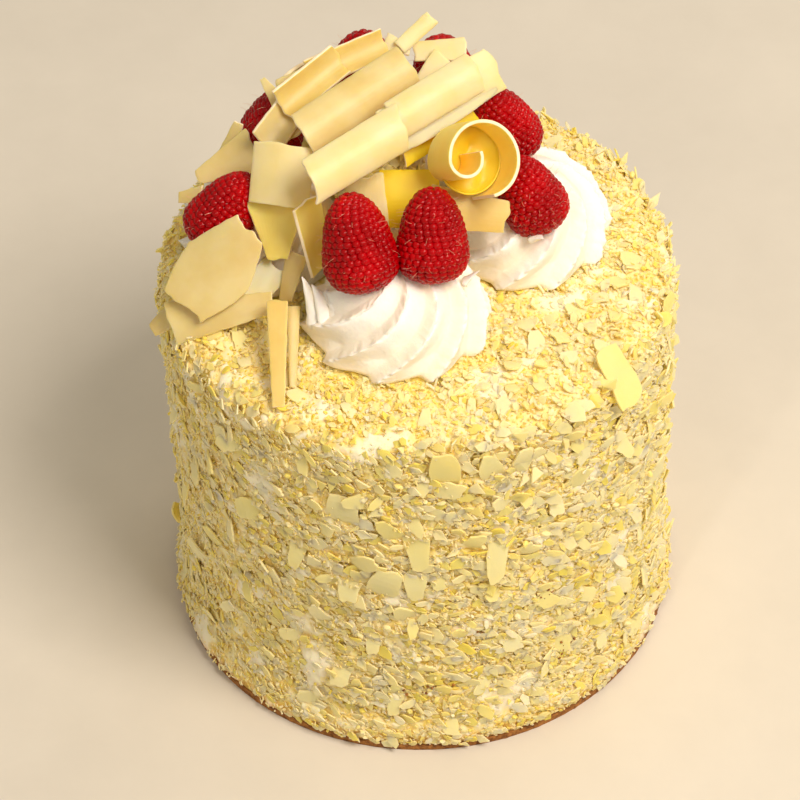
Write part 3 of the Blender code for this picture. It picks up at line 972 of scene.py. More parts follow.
def chip_frame(facing: tuple[float, float], turn: float, tilt: float, spot: Vector) -> Matrix:
    """Place of a large chip.

    Args:
        facing: azimuth and elevation of its outer side, in degrees.
        turn: angle of its length in its own plane, in degrees.
        tilt: how far its end is tipped up, in degrees.
        spot: where its middle goes.

    Returns:
        Its matrix.
    """
    place = turned_frame(facing, turn) @ Matrix.Rotation(math.radians(-tilt), 4, "Y")
    place.translation = spot
    return place


def round_spot(radius: float, around: float, height: float) -> Vector:
    """Point at a radius, an angle round the axis in radians, and a height."""
    return Vector((radius * math.cos(around), radius * math.sin(around), height))


def solid_chips(draw: random.Random) -> list[ChipPlace]:
    """The places and sizes of the solid's large chips, by the solid's own rule.

    Args:
        draw: the same seeded source as the solid's.

    Returns:
        For each chip its matrix, length and width.
    """
    made = []
    order = list(range(CHIPS_ON_SIDE))
    draw.shuffle(order)
    for rank, index in enumerate(order):
        height = CHIP_LOW + (CHIP_HIGH - CHIP_LOW) * (index + 0.5) / CHIPS_ON_SIDE
        around = index * GOLDEN_ANGLE
        length, width = chip_size(rank / CHIPS_ON_SIDE, draw)
        tilt = draw.uniform(*CHIP_TILT)
        place = chip_frame((math.degrees(around), 0.0), draw.uniform(0.0, 360.0), tilt,
                           round_spot(side_radius(height) + CHIP_OUT, around, height))
        made.append((place, length, width))
    centres = [rosette_centre(number) for number in range(len(ROSETTE_SIDES))]
    for index in range(CHIP_TOP_TRIES):
        radius = CHIP_TOP_REACH * math.sqrt((index + 0.5) / CHIP_TOP_TRIES)
        spot = round_spot(radius, index * GOLDEN_ANGLE, CAKE_HEIGHT + CHIP_OUT)
        near = min((spot.xy - centre.xy).length for centre in centres)
        inside = (spot.xy - Vector(TOPPING_CENTRE)).length < ROSETTE_RING
        if inside or near < ROSETTE_RADIUS + CHIP_MARGIN:
            continue
        length, width = chip_size(draw.random(), draw)
        turn = draw.uniform(0.0, 360.0)
        place = chip_frame((0.0, CHIP_TOP_FACING), turn, draw.uniform(*CHIP_TILT), spot)
        made.append((place, length * CHIP_TOP_SCALE, width * CHIP_TOP_SCALE))
    return made[:CHIPS_ON_SIDE + CHIPS_ON_TOP]


@dataclass
class CakeCoat:
    """The cake's side and top: smeared cream under many small flakes and some large chips.

    Lengths are in millimetres and tilts in degrees. A pair is the least and the most, where
    no comment says what else it is.
    """

    # The undercoat: chunks of chocolate pressed into cream, and patches that are mostly cream.
    # clean_tone is its tone on the level, and what its rise and its cream add to that; a low rise
    # gives a low tone, which paints golden shade into the hollows
    skin_segments: int = 440
    skin_step: float = 1.05
    chunk: float = 3.4
    chunk_height: float = 0.45
    chunk_lean: float = 0.40
    crumb: float = 0.45
    crumb_size: float = 2.0
    cream_patch: float = 13.0
    cream_from: float = 0.31
    cream_soft: float = 0.16
    fray: float = 0.22
    fray_size: float = 2.6
    cream_rise: float = 0.6
    lump: float = 1.2
    lump_size: float = 9.0
    lump_squash: float = 1.5
    clean_tone: tuple[float, float, float] = (0.25, 0.35, 0.6)

    # The kinds of flake: corners of each plate, bend and width of each curled shaving, and how
    # often each shaving is used against a plate
    plate_kinds: tuple[int, ...] = (4, 5, 7, 6, 4, 5, 8, 3)
    plate_wall: float = 0.13
    plate_bend: tuple[float, float] = (0.03, 0.16)
    curl_kinds: tuple[tuple[float, float], ...] = ((1.3, 0.5), (0.8, 0.34))
    curl_wall: float = 0.10
    curl_shares: tuple[float, float] = (0.7, 0.9)

    # The small flakes, the bits among them, and the distances where their bands part. raised
    # is how much of a flake's slant lifts its middle
    flakes: int = 42000
    bands: tuple[float, float] = (40.0, 83.0)
    stray: float = 0.004
    flake_length: tuple[float, float] = (1.6, 7.6)
    flake_width: tuple[float, float] = (0.36, 0.8)
    flake_wall: tuple[float, float] = (2.2, 3.4)
    flake_lift: tuple[float, float] = (-0.1, 0.9)
    length_skew: float = 1.6
    bits: float = 0.46
    bit_length: tuple[float, float] = (0.8, 2.3)
    bit_tilt: tuple[float, float] = (10.0, 70.0)
    side_tilt: tuple[float, float] = (2.0, 34.0)
    side_skew: float = 2.4
    top_tilt: tuple[float, float] = (4.0, 60.0)
    top_skew: float = 1.4
    top_scale: float = 0.56
    foot_scale: float = 0.7
    foot_zone: tuple[float, float] = (4.0, 16.0)
    foot_gap: float = 0.4
    under_rosette: float = 4.0
    rim_middle: float = 4.0
    rim_zone: float = 6.0
    rim_tilt: float = 62.0
    raised: float = 0.34
    free_spin: float = 0.3
    spin_stray: float = 0.5
    plain_kinds: int = 2
    small_crumb: float = 0.5
    # How much more golden the top's flakes turn towards the left: painted shade where the light
    # falls off
    top_left_shade: float = 0.5
    gold_skew: float = 1.8
    smeared: float = 0.07
    smeared_in_cream: float = 0.6
    bare_in_cream: float = 0.5

    # The side that is worn smoother: where it faces, how far, and what that does
    worn_towards: float = math.radians(-155.0)
    worn: float = 0.45
    worn_small: float = 0.4
    worn_flat: float = 0.5

    # The large chips. chip_clear is the share of a chip's size that the bits keep clear of it,
    # and that of the other small flakes
    chip_scale: float = 0.86
    chip_wall: float = 0.6
    chip_break: float = 8.0
    chip_bend: tuple[float, float] = (0.15, 0.75)
    chip_lift: float = 0.5
    chip_tone: tuple[float, float] = (-0.15, 0.45)
    chip_clear: tuple[float, float] = (0.12, 0.22)
    seen_out: float = 0.6
    rim_in: float = 1.6
    rim_facing: float = 45.0

    # The specks of crumb that show through
    speck_size: tuple[float, float] = (0.5, 1.3)
    speck_out: tuple[float, float] = (0.6, 1.3)
    speck_spread: float = 0.6

    outline: Outline = field(default_factory=Outline)

    def build(self, undercoat: Material, flaked: Material, baked: Material) -> list[Object]:
        """Make the coat's pieces.

        Args:
            undercoat: the smeared cream.
            flaked: the flakes' chocolate.
            baked: the cake's own crumb.

        Returns:
            The pieces.
        """
        shapes = self.flake_shapes(random.Random(SEED))
        chips = self.chip_places()
        return [
            self.skin(undercoat),
            self.chips(chips, flaked),
            *self.flake_pieces(shapes, chips, flaked, np.random.default_rng(SEED)),
            self.cake_crumbs(baked),
        ]

    def cream_share(self, spot: Vector) -> float:
        """How far clean cream covers the coat.

        Args:
            spot: the point.

        Returns:
            The share, from 0 to 1.
        """
        patch = noise.noise(spot / self.cream_patch + Vector((7.0, 0.0, 3.0)))
        patch += self.fray * noise.noise(spot / self.fray_size)
        return max(0.0, min(1.0, (patch - self.cream_from) / self.cream_soft))

    def swell(self, spot: Vector) -> float:
        """How far the whole coat, flakes too, stands out of the bare outline at a point."""
        squashed = Vector((spot.x, spot.y, spot.z * self.lump_squash))
        return self.lump * noise.noise(squashed / self.lump_size)

    def skin(self, undercoat: Material) -> Object:
        """Make the uneven skin under the flakes: chocolate chunks pressed into cream, with golden
        shade painted into its hollows through its tone.

        Args:
            undercoat: the smeared cream.

        Returns:
            The piece.
        """
        length = self.outline.way[-1]
        way = np.arange(0.0, length - self.skin_step / 2.0, self.skin_step)
        radii, heights, _ = self.outline.at(way)
        bm = turned_solid(list(zip(radii.tolist(), heights.tolist())), self.skin_segments)
        bm.normal_update()
        level, shade_by_rise, by_cream = self.clean_tone
        tones = []
        for vert in bm.verts:
            spot = vert.co.copy()
            middle = noise.voronoi(spot / self.chunk)[1][0]
            way_off = spot / self.chunk - middle
            own = noise.cell_vector(middle)
            rise = self.chunk_height * own.x + self.chunk_lean * self.chunk * way_off.dot(own)
            rise += self.crumb * noise.fractal(spot / self.crumb_size, 1.0, 2.0, 2)
            cream = self.cream_share(spot)
            rise += cream * (self.cream_rise - 0.5 * rise) + self.swell(spot)
            # A low rise gives a low tone: painted golden shade in the hollows
            tones.append(level + shade_by_rise * rise + by_cream * cream)
            if spot.z > COAT_FOOT:
                vert.co += vert.normal * rise
        mesh = mesh_of("coat_undercoat", bm)
        add_tone(mesh, np.array(tones))
        return piece("coat_undercoat", mesh, [undercoat], ("coated_cake",))

    def flake_shapes(self, draw: random.Random) -> list[Shape]:
        """Make the kinds of small flake.

        Args:
            draw: source of their uneven outlines.

        Returns:
            Broken plates, then curled shavings, then a crumb.
        """
        plates = [plate_shape(corners, self.plate_wall, draw.uniform(*self.plate_bend), draw)
                  for corners in self.plate_kinds]
        curls = [curl_shape(self.curl_wall, bend, width) for bend, width in self.curl_kinds]
        return plates + curls + [crumb_shape(draw)]

    def kind_shares(self) -> np.ndarray:
        """How often each kind of flake is used, in the order in which they are made."""
        shares = np.array([1.0] * len(self.plate_kinds) + [*self.curl_shares, 1.0])
        return shares / shares.sum()

    def places(self, way: np.ndarray, around: np.ndarray, lift: np.ndarray
               ) -> tuple[np.ndarray, np.ndarray]:
        """Points on the skin and their outward directions.

        Args:
            way: distances along the outline.
            around: angles round the cake, in radians.
            lift: how far out of the skin, in millimetres.

        Returns:
            The points and the unit vectors.
        """
        radius, height, slope = self.outline.at(way)
        out = np.stack([np.cos(around) * np.cos(slope), np.sin(around) * np.cos(slope),
                        np.sin(slope)], axis=1)
        spots = np.stack([radius * np.cos(around), radius * np.sin(around), height], axis=1)
        return spots + out * lift[:, None], out

    def is_open(self, spots: np.ndarray) -> np.ndarray:
        """Find the points that are clear of the rosettes and of the heap between them.

        Args:
            spots: the points.

        Returns:
            Whether each is clear.
        """
        top = spots[:, 2] > CAKE_HEIGHT - RIM_ROUNDING
        hidden = np.linalg.norm(spots[:, :2] - TOPPING_CENTRE, axis=1) < ROSETTE_RING
        for number in range(len(ROSETTE_SIDES)):
            centre = np.array(rosette_centre(number)[:2])
            away = np.linalg.norm(spots[:, :2] - centre, axis=1)
            hidden |= away < ROSETTE_RADIUS - self.under_rosette
        return ~(top & hidden)

    def flake_sizes(self, way: np.ndarray, on_top: np.ndarray, worn: np.ndarray,
                    draw: np.random.Generator) -> tuple[np.ndarray, np.ndarray]:
        """Draw the flakes' lengths: few are long, and those at the foot and on top are short.

        Args:
            way: distances along the outline.
            on_top: which flakes lie on the top.
            worn: how worn the coat is there.
            draw: source of the sizes.

        Returns:
            The lengths, and which flakes are only bits.
        """
        count = len(way)
        least, most = self.flake_length
        size = least + (most - least) * draw.random(count) ** self.length_skew
        size = np.where(on_top, size * self.top_scale, size)
        size = size * np.interp(way, self.foot_zone, (self.foot_scale, 1.0))
        size = size * (1.0 - self.worn_small * worn)
        bit = draw.random(count) < self.bits
        return np.where(bit, draw.uniform(*self.bit_length, count), size), bit

    def flake_tilts(self, way: np.ndarray, on_top: np.ndarray, worn: np.ndarray, bit: np.ndarray,
                    draw: np.random.Generator) -> np.ndarray:
        """Draw how far the flakes are tipped up: most lie flat, those at the rim stand.

        Args:
            way: distances along the outline.
            on_top: which flakes lie on the top.
            worn: how worn the coat is there.
            bit: which flakes are only bits.
            draw: source of the tilts.

        Returns:
            The angles in radians.
        """
        count = len(way)
        lean = draw.random(count)
        top_least, top_most = self.top_tilt
        side_least, side_most = self.side_tilt
        tilt = np.radians(np.where(
            on_top,
            top_least + (top_most - top_least) * lean ** self.top_skew,
            side_least + (side_most - side_least) * (1.0 - worn) * lean ** self.side_skew,
        ))
        tilt = np.where(bit, np.radians(draw.uniform(*self.bit_tilt, count)), tilt)
        away = np.abs(way - self.outline.side_end - self.rim_middle)
        rim = np.clip(1.0 - away / self.rim_zone, 0.0, 1.0)
        return tilt + rim * np.radians(self.rim_tilt) * draw.random(count) ** 2

    def flake_pieces(self, shapes: list[Shape], chips: list[ChipPlace], flaked: Material,
                     draw: np.random.Generator) -> list[Object]:
        """Lay the small flakes, in bands that each stay a mesh of moderate size.

        Args:
            shapes: the kinds of flake.
            chips: the large chips, which they keep clear of.
            flaked: their chocolate.
            draw: source of all that is uneven.

        Returns:
            The pieces, from the foot up.
        """
        count = self.flakes
        way = self.outline.spread(count)
        around = np.arange(count) * GOLDEN_ANGLE + draw.normal(0.0, self.stray, count)
        on_top = way > self.outline.side_end + RIM_ROUNDING
        worn = self.worn * np.clip(np.cos(around - self.worn_towards), 0.0, 1.0) ** 2
        worn = np.where(on_top, 0.0, worn)
        size, bit = self.flake_sizes(way, on_top, worn, draw)
        broad = size * draw.uniform(*self.flake_width, count)
        thick = np.clip(size, *self.flake_wall)
        tilt = self.flake_tilts(way, on_top, worn, bit, draw)
        loose = draw.uniform(*self.flake_lift, count) * (1.0 - self.worn_flat * worn)
        spots, out = self.places(way, around, size * np.sin(tilt) * self.raised + loose)
        spots += out * np.array([self.swell(Vector(spot)) for spot in spots])[:, None]
        spin = draw.uniform(0.0, 2.0 * math.pi, count)
        free = on_top | (draw.random(count) < self.free_spin)
        spin = np.where(free, spin, draw.normal(0.0, self.spin_stray, count))
        axes = unit_frames(out, spin, tilt) * np.stack([size, broad, thick], axis=1)[:, None, :]
        cream = np.array([self.cream_share(Vector(spot)) for spot in spots])
        tone = self.flake_tones(spots, on_top, cream, draw)
        keep = self.is_open(spots) & (draw.random(count) > self.bare_in_cream * cream)
        keep &= draw.random(count) > self.worn_flat * worn
        keep &= spots[:, 2] - size * 0.5 > self.foot_gap
        clear = np.where(bit, *self.chip_clear)
        for place, length, width in chips:
            away = np.linalg.norm(spots - np.array(place.translation), axis=1)
            keep &= away > clear * (length + width)
        kinds = draw.choice(len(shapes), count, p=self.kind_shares())
        kinds = np.where(bit, kinds % self.plain_kinds, kinds)
        first, second = self.bands
        bands = (("low", way < first),
                 ("middle", (way >= first) & (way < second)),
                 ("high", (way >= second) & ~on_top),
                 ("top", on_top))
        made = []
        for band, inside in bands:
            name = f"coat_flakes_{band}"
            joined = JoinedMesh()
            for kind, shape in enumerate(shapes):
                chosen = keep & inside & (kinds == kind)
                scale = self.small_crumb if kind == len(shapes) - 1 else 1.0
                joined.add(shape, axes[chosen] * scale, spots[chosen], tone[chosen])
            made.append(piece(name, joined.mesh(name), [flaked],
                              ("coated_cake",), smooth=False))
        return made

    def flake_tones(self, spots: np.ndarray, on_top: np.ndarray, cream: np.ndarray,
                    draw: np.random.Generator) -> np.ndarray:
        """Draw the flakes' tones: smeared where the cream is, and more golden on the top's left,
        which is painted shade where the light falls off.

        Args:
            spots: the flakes' places.
            on_top: which flakes lie on the top.
            cream: the share of cream at each.
            draw: source of the tones.

        Returns:
            The tones.
        """
        count = len(spots)
        smeared = draw.random(count) < self.smeared + self.smeared_in_cream * cream
        tone = np.where(smeared, -draw.random(count), draw.random(count) ** self.gold_skew)
        # More golden towards the top's left: painted shade
        left = self.top_left_shade * np.clip(-spots[:, 0] / FOOT_RADIUS, 0.0, 1.0)
        return np.where(on_top & (tone > 0.0), tone + left, tone)

    def chip_places(self) -> list[ChipPlace]:
        """Place every large chip.

        Returns:
            The solid's chips, then those of the picture.
        """
        made = [(place, length * self.chip_scale, width * self.chip_scale)
                for place, length, width in solid_chips(random.Random(SEED))]
        for around, height, length, width, turn, tilt in SEEN_CHIPS:
            radius = side_radius(min(height, SIDE_OUTLINE[-1][1])) + self.seen_out
            facing = 0.0
            if height >= CAKE_HEIGHT - RIM_ROUNDING:
                facing = self.rim_facing
                radius -= self.rim_in
            spot = round_spot(radius, math.radians(around), height)
            made.append((chip_frame((around, facing), turn, tilt, spot), length, width))
        return made

    def chips(self, places: list[ChipPlace], flaked: Material) -> Object:
        """Make the large chips that stand out as relief.

        Args:
            places: where they go.
            flaked: their chocolate.

        Returns:
            The piece.
        """
        shaper = random.Random(SEED + 1)
        joined = JoinedMesh()
        for place, length, width in places:
            shape = chip_shape(shaper, self.chip_wall / length, shaper.uniform(*self.chip_bend),
                               min(1.0, self.chip_break / length))
            turn = np.array(place.to_3x3())
            out = self.chip_lift + self.swell(place.translation)
            spot = np.array(place.translation) + turn[:, 2] * out
            tone = np.array([shaper.uniform(*self.chip_tone)])
            joined.add(shape, (turn * np.array([length, width, length]))[None], spot[None], tone)
        return piece("coat_chips", joined.mesh("coat_chips"), [flaked],
                     ("coated_cake",), smooth=False)

    def cake_crumbs(self, baked: Material) -> Object:
        """Make the specks of the cake's own crumb that show through in a few places.

        Args:
            baked: their finish.

        Returns:
            The piece.
        """
        draw = random.Random(SEED + 3)
        shape = crumb_shape(draw)
        joined = JoinedMesh()
        for around, height, count, reach in CRUMB_SPOTS:
            for _ in range(count):
                angle = math.radians(around) + draw.gauss(0.0, reach) / FOOT_RADIUS
                level = height + draw.gauss(0.0, reach * self.speck_spread)
                radius = side_radius(level) + draw.uniform(*self.speck_out)
                spot = np.array([[radius * math.cos(angle), radius * math.sin(angle), level]])
                size = draw.uniform(*self.speck_size)
                joined.add(shape, np.eye(3)[None] * size, spot, np.zeros(1))
        return piece("coat_cake_crumbs", joined.mesh("coat_cake_crumbs"), [baked],
                     ("coated_cake",), smooth=False)


# Torn peaks that stand on a swirl: its number, then foot, tip and width of the peak
CREAM_PEAKS = (
    (3, (-27.0, -30.5, 137.0), (-30.6, -28.3, 151.3), 9.5),
    (3, (-24.5, -31.0, 138.5), (-28.0, -29.0, 149.0), 10.0),
    (3, (-21.5, -30.5, 140.0), (-24.3, -29.0, 147.2), 9.0),
    (3, (-7.4, -27.0, 149.5), (-5.0, -27.1, 155.8), 5.0),
    (3, (-3.0, -28.5, 149.0), (-0.9, -29.6, 155.6), 5.0),
    (3, (13.5, -26.0, 145.5), (17.0, -26.4, 150.8), 3.6),
    (3, (11.5, -22.0, 146.5), (14.9, -20.6, 151.0), 3.6),
    (0, (33.5, -10.5, 147.0), (35.5, -13.5, 150.5), 5.0),
    (2, (-47.0, -6.0, 147.5), (-50.5, -8.5, 151.0), 6.0),
)


@dataclass
class Rosette:
    """A swirl of cream piped through a star nozzle, its torn crests turning in as they rise."""

    number: int
    ridges: int = 10
    columns: int = 34
    rings: int = 100
    crowd: float = 0.65
    depth: float = 0.185
    foot_depth: float = 0.45
    twist: float = 78.0
    ease: float = 1.3
    steep: float = 0.13
    tuck: float = 0.10
    tuck_height: float = 0.12
    torn: float = 1.1
    torn_size: float = 1.3
    torn_width: float = 0.06
    ripple: float = 0.45
    ripple_size: float = 5.0
    # How far round the heap's middle the cream turns golden, and the fray and soft edge of that
    # tint: partly a stain of the chocolate and partly painted golden shade
    stained: float = 25.0
    heap_tint_fray: float = 3.0
    heap_tint_soft: float = 4.0
    press_depth: float = 6.0
    press_reach: float = 1.0
    peak_rough: float = 0.35
    peak_flat: float = 0.55
    peak_bend: float = 0.9

    def build(self, cream: Material) -> Object:
        """Make the swirl.

        Args:
            cream: its finish.

        Returns:
            The piece.
        """
        name = f"piped_cream_{ROSETTE_SIDES[self.number]}"
        rises = [math.sin(math.pi / 2.0 * ring / self.rings) for ring in range(self.rings)]
        profile = [(ROSETTE_RADIUS * self.swell(rise), ROSETTE_HEIGHT * rise) for rise in rises]
        bm = turned_solid(profile, self.ridges * self.columns)
        tones = [self.shape(vert) for vert in bm.verts]
        centre = rosette_centre(self.number)
        bmesh.ops.translate(bm, vec=centre, verts=bm.verts)
        for step in (1, 3):
            self.press(bm, centre, rosette_centre((self.number + step) % len(ROSETTE_SIDES)))
        # Near the heap the tone rises past 1: partly a stain of the chocolate, partly painted
        # golden shade
        for number, vert in enumerate(bm.verts):
            near = self.stained - (vert.co.xy - Vector(TOPPING_CENTRE)).length
            near += self.heap_tint_fray * noise.noise(vert.co / self.heap_tint_fray)
            stain = max(0.0, min(1.0, near / self.heap_tint_soft))
            tones[number] = min(1.0, tones[number]) + stain
        tones += self.peaks(bm)
        mesh = mesh_of(name, bm)
        add_tone(mesh, np.array(tones))
        return piece(name, mesh, [cream],
                     (f"cream_rosette_{ROSETTE_SIDES[self.number]}",))

    def swell(self, rise: float) -> float:
        """Radius of the swirl at a share of its height, as a share of its radius."""
        tuck = self.tuck * max(0.0, 1.0 - rise / self.tuck_height) ** 2
        return (1.0 - rise ** 2.3) ** 0.526 - tuck

    def shape(self, vert: BMVert) -> float:
        """Move one point onto its ridge.

        Args:
            vert: the point, on the smooth turned form.

        Returns:
            Its tone, which paints shade into the folds: 0 on a crest, 1 in a fold.
        """
        rise = vert.co.z / ROSETTE_HEIGHT
        place = self.ridges * math.atan2(vert.co.y, vert.co.x) / (2.0 * math.pi)
        crowded = -self.crowd * math.sin(2.0 * math.pi * place) / (2.0 * math.pi)
        vert.co = Matrix.Rotation(2.0 * math.pi * crowded / self.ridges, 3, "Z") @ vert.co
        place += crowded
        share = place % 1.0
        climb = max(0.0, (share - 1.0 + self.steep) / self.steep)
        fall = min(1.0, share / (1.0 - self.steep))
        low = (0.5 - 0.5 * math.cos(math.pi * fall ** 0.75)) * (1.0 - climb ** 1.5)
        crest = math.exp(-(min(share, 1.0 - share) / self.torn_width) ** 2)
        turn = Matrix.Rotation(math.radians(self.twist) * rise ** self.ease, 3, "Z")
        spot = Vector((self.number * 31.0, 0.0, 0.0))
        along = Vector((round(place) * 7.7, share * 2.0, vert.co.z)) / self.torn_size + spot
        tear = noise.noise(along) + 0.6 * noise.noise(along * 2.4)
        foot = min(1.0, self.foot_depth + rise / 0.5)
        vert.co.xy *= 1.0 - self.depth * low * foot
        vert.co = turn @ vert.co
        wave = self.ripple * noise.noise(vert.co / self.ripple_size + spot)
        outward = Vector((vert.co.x, vert.co.y, vert.co.z * 0.8))
        if outward.length > 0.0 and rise > 0.0:
            vert.co += outward.normalized() * (self.torn * crest * tear + wave)
        # The fold's depth becomes its tone: painted shade
        return low ** 1.5

    def peaks(self, bm: BMesh) -> list[float]:
        """Add the torn peaks of cream that stand on this swirl.

        Args:
            bm: the swirl, in place.

        Returns:
            The tones of the points that were added.
        """
        added = []
        for number, foot, tip, width in CREAM_PEAKS:
            if number != self.number:
                continue
            way = Vector(tip) - Vector(foot)
            turn = way.to_track_quat("Z", "Y").to_matrix()
            peak = bmesh.new()
            bmesh.ops.create_cone(peak, cap_ends=True, segments=16, radius1=0.5, radius2=0.02,
                                  depth=1.0)
            bmesh.ops.subdivide_edges(peak, edges=rising_edges(peak), cuts=7, use_grid_fill=True)
            for vert in peak.verts:
                share = vert.co.z + 0.5
                rough = 1.0 + self.peak_rough * noise.noise(vert.co * 5.0 + Vector(tip))
                across = vert.co.y * width * self.peak_flat * rough
                spot = Vector((vert.co.x * width * rough, across - self.peak_bend * share ** 2,
                               share * way.length))
                vert.co = Vector(foot) + turn @ spot
            added += [0.0] * len(peak.verts)
            joined = mesh_of("peak", peak)
            bm.from_mesh(joined)
            bpy.data.meshes.remove(joined)
        return added

    def press(self, bm: BMesh, centre: Vector, neighbour: Vector) -> None:
        """Squeeze the side of the swirl that meets its neighbour.

        Args:
            bm: the swirl, in place.
            centre: middle of its foot.
            neighbour: middle of the other swirl's foot.
        """
        towards = (neighbour - centre).normalized()
        limit = (neighbour - centre).length / 2.0
        soft = limit - self.press_depth
        reach = ROSETTE_RADIUS + self.press_reach
        for vert in bm.verts:
            along = (vert.co - centre).dot(towards)
            if along > soft:
                pressed = soft + (along - soft) * (limit - soft) / (reach - soft)
                vert.co += towards * (pressed - along)


@dataclass
class Berry:
    """A raspberry: rows of moist drupelets round a core, with fine curved hairs."""

    name: str
    lean_towards: float
    lean: float
    scale: float
    width: float = 21.5
    length: float = 28.5
    middle: float = 0.93
    taper: float = 0.30
    core: float = 0.91
    sunk: float = 0.62
    cell: float = 2.05
    row: float = 1.75
    dome: float = 1.60
    dome_range: tuple[float, float] = (0.92, 1.08)
    dome_narrow: float = 0.92
    stray: float = 0.04
    hairs: int = 40
    hair_length: float = 2.6
    hair_bend: float = 1.1

    def build(self, skin: Material, hair: Material) -> Object:
        """Make the berry.

        Args:
            skin: the drupelets' finish.
            hair: the hairs' finish.

        Returns:
            The piece.
        """
        draw = random.Random(self.name)
        joined = JoinedMesh()
        heights = np.linspace(-0.98, 0.97, 14)
        core = turned_solid([(self.radius(h) - 0.4, h * self.half()) for h in heights], 20)
        # The core between the drupelets takes tone 1: painted shade
        joined.add(shape_of(core), np.eye(3)[None], np.zeros((1, 3)), np.array([1.0]))
        self.add_drupelets(joined, draw)
        self.add_hairs(joined, draw)
        mesh = joined.mesh(self.name + "_skin")
        mesh.transform(turned_frame((self.lean_towards, 90.0 - self.lean)))
        obj = piece(self.name + "_skin", mesh, [skin, hair], (self.name,))
        move_onto(obj, self.name)
        return obj

    def half(self) -> float:
        """Half of the berry's length."""
        return self.length * self.scale / 2.0 - self.core

    def radius(self, height: float) -> float:
        """Radius of the core where the drupelets stand.

        Args:
            height: from -1 at the base to 1 at the tip.

        Returns:
            The radius in millimetres.
        """
        round_off = math.sqrt(max(0.0, 1.0 - abs(height) ** 3))
        broad = self.width * self.scale / 2.0 - self.core
        return self.middle * round_off * (1.0 - self.taper * height) * broad

    def add_drupelets(self, joined: JoinedMesh, draw: random.Random) -> None:
        """Set the drupelets in staggered rows from the base to the tip.

        Args:
            joined: the mesh that they join.
            draw: source of their uneven size and place.
        """
        bm = bmesh.new()
        bmesh.ops.create_uvsphere(bm, u_segments=8, v_segments=6, radius=1.0)
        low = [vert for vert in bm.verts if vert.co.z < -0.6]
        bmesh.ops.delete(bm, geom=low, context="VERTS")
        bmesh.ops.holes_fill(bm, edges=[edge for edge in bm.edges if edge.is_boundary], sides=0)
        shape = shape_of(bm)
        fine = np.linspace(-0.985, 0.985, 400)
        radii = np.array([self.radius(h) for h in fine])
        steps = np.hypot(np.diff(radii), np.diff(fine) * self.half())
        way = np.concatenate([[0.0], np.cumsum(steps)])
        rows = max(3, round(way[-1] / self.row))
        axes = []
        places = []
        for row in range(rows):
            reach = way[-1] * (row + 0.5) / rows
            height = float(np.interp(reach, way, fine))
            ahead = float(np.interp(min(reach + 0.3, way[-1]), way, fine))
            radius = self.radius(height)
            lean = math.atan2(radius - self.radius(ahead), (ahead - height) * self.half())
            count = max(4, round(2.0 * math.pi * (radius - 0.4) / self.cell))
            for number in range(count):
                around = (number + 0.5 * (row % 2)) * 2.0 * math.pi / count
                around += draw.uniform(-self.stray, self.stray)
                out = Vector((math.cos(around) * math.cos(lean),
                              math.sin(around) * math.cos(lean), math.sin(lean)))
                side = Vector((-math.sin(around), math.cos(around), 0.0))
                size = self.dome * draw.uniform(*self.dome_range)
                across = side.cross(out) * -size * self.dome_narrow
                axes.append(np.array([side * size, across, out * size]).T)
                spot = round_spot(radius, around, height * self.half())
                places.append(spot - out * self.sunk * self.dome)
        # Each drupelet darkens towards its foot: painted shade between the drupelets
        root = np.clip(0.55 - shape.points[:, 2] * 1.1, 0.0, 1.0)
        tones = np.tile(root, (len(places), 1))
        joined.add(shape, np.array(axes), np.array(places), tones)

    def add_hairs(self, joined: JoinedMesh, draw: random.Random) -> None:
        """Stand fine curved hairs on the berry, drawn a little thicker than real so they show.

        Args:
            joined: the mesh that they join.
            draw: source of their places.
        """
        bm = bmesh.new()
        bmesh.ops.create_cone(bm, cap_ends=True, segments=3, radius1=0.05, radius2=0.03, depth=1.0)
        bmesh.ops.subdivide_edges(bm, edges=rising_edges(bm), cuts=3)
        for vert in bm.verts:
            share = vert.co.z + 0.5
            vert.co.z = share * self.hair_length
            vert.co.x += self.hair_bend * share ** 2
        shape = shape_of(bm)
        axes = []
        places = []
        for _ in range(self.hairs):
            height = draw.uniform(-0.8, 0.75)
            around = draw.uniform(0.0, 2.0 * math.pi)
            radius = self.radius(height) + 0.2
            out = Vector((math.cos(around), math.sin(around), 0.25 * height)).normalized()
            side = Vector((-math.sin(around), math.cos(around), 0.0))
            turn = Matrix.Rotation(draw.uniform(0.0, 2.0 * math.pi), 3, out)
            side = turn @ side
            axes.append(np.array([side, out.cross(side), out]).T)
            places.append(round_spot(radius, around, height * self.half()))
        joined.add(shape, np.array(axes), np.array(places), np.zeros(len(places)), finish=1)


@dataclass(frozen=True)
class Sheet:
    """One thin piece of chocolate, with the sizes of its solid.

    facing is the azimuth and elevation of its outer side, turn the angle of its length in its
    own plane, widths those of its two ends, and curl the radius it curls to, negative where
    the hollow side faces out.
    """

    name: str
    facing: tuple[float, float]
    turn: float
    length: float
    widths: tuple[float, float]
    curl: float
    belly: float = 0.0
    slant: float = 0.0
    tone: LitShadeTone = LitShadeTone.IVORY
    broken: float = 1.0


# The sheet with thin leaves under it, and how far each leaf's middle is from the sheet's,
# with its turn, length and width
LEAFED_SHEET = Sheet("sheet_under", (-60.0, 46.0), 8.0, 38.0, (14.0, 13.0), 30.0)
LEAVES = (
    ((1.0, -2.4, -2.0), 1.5, 34.0, 8.0),
    ((-5.0, -5.8, -4.6), -3.0, 28.0, 6.0),
    ((-9.0, -7.4, -6.0), 5.0, 18.0, 5.0),
)

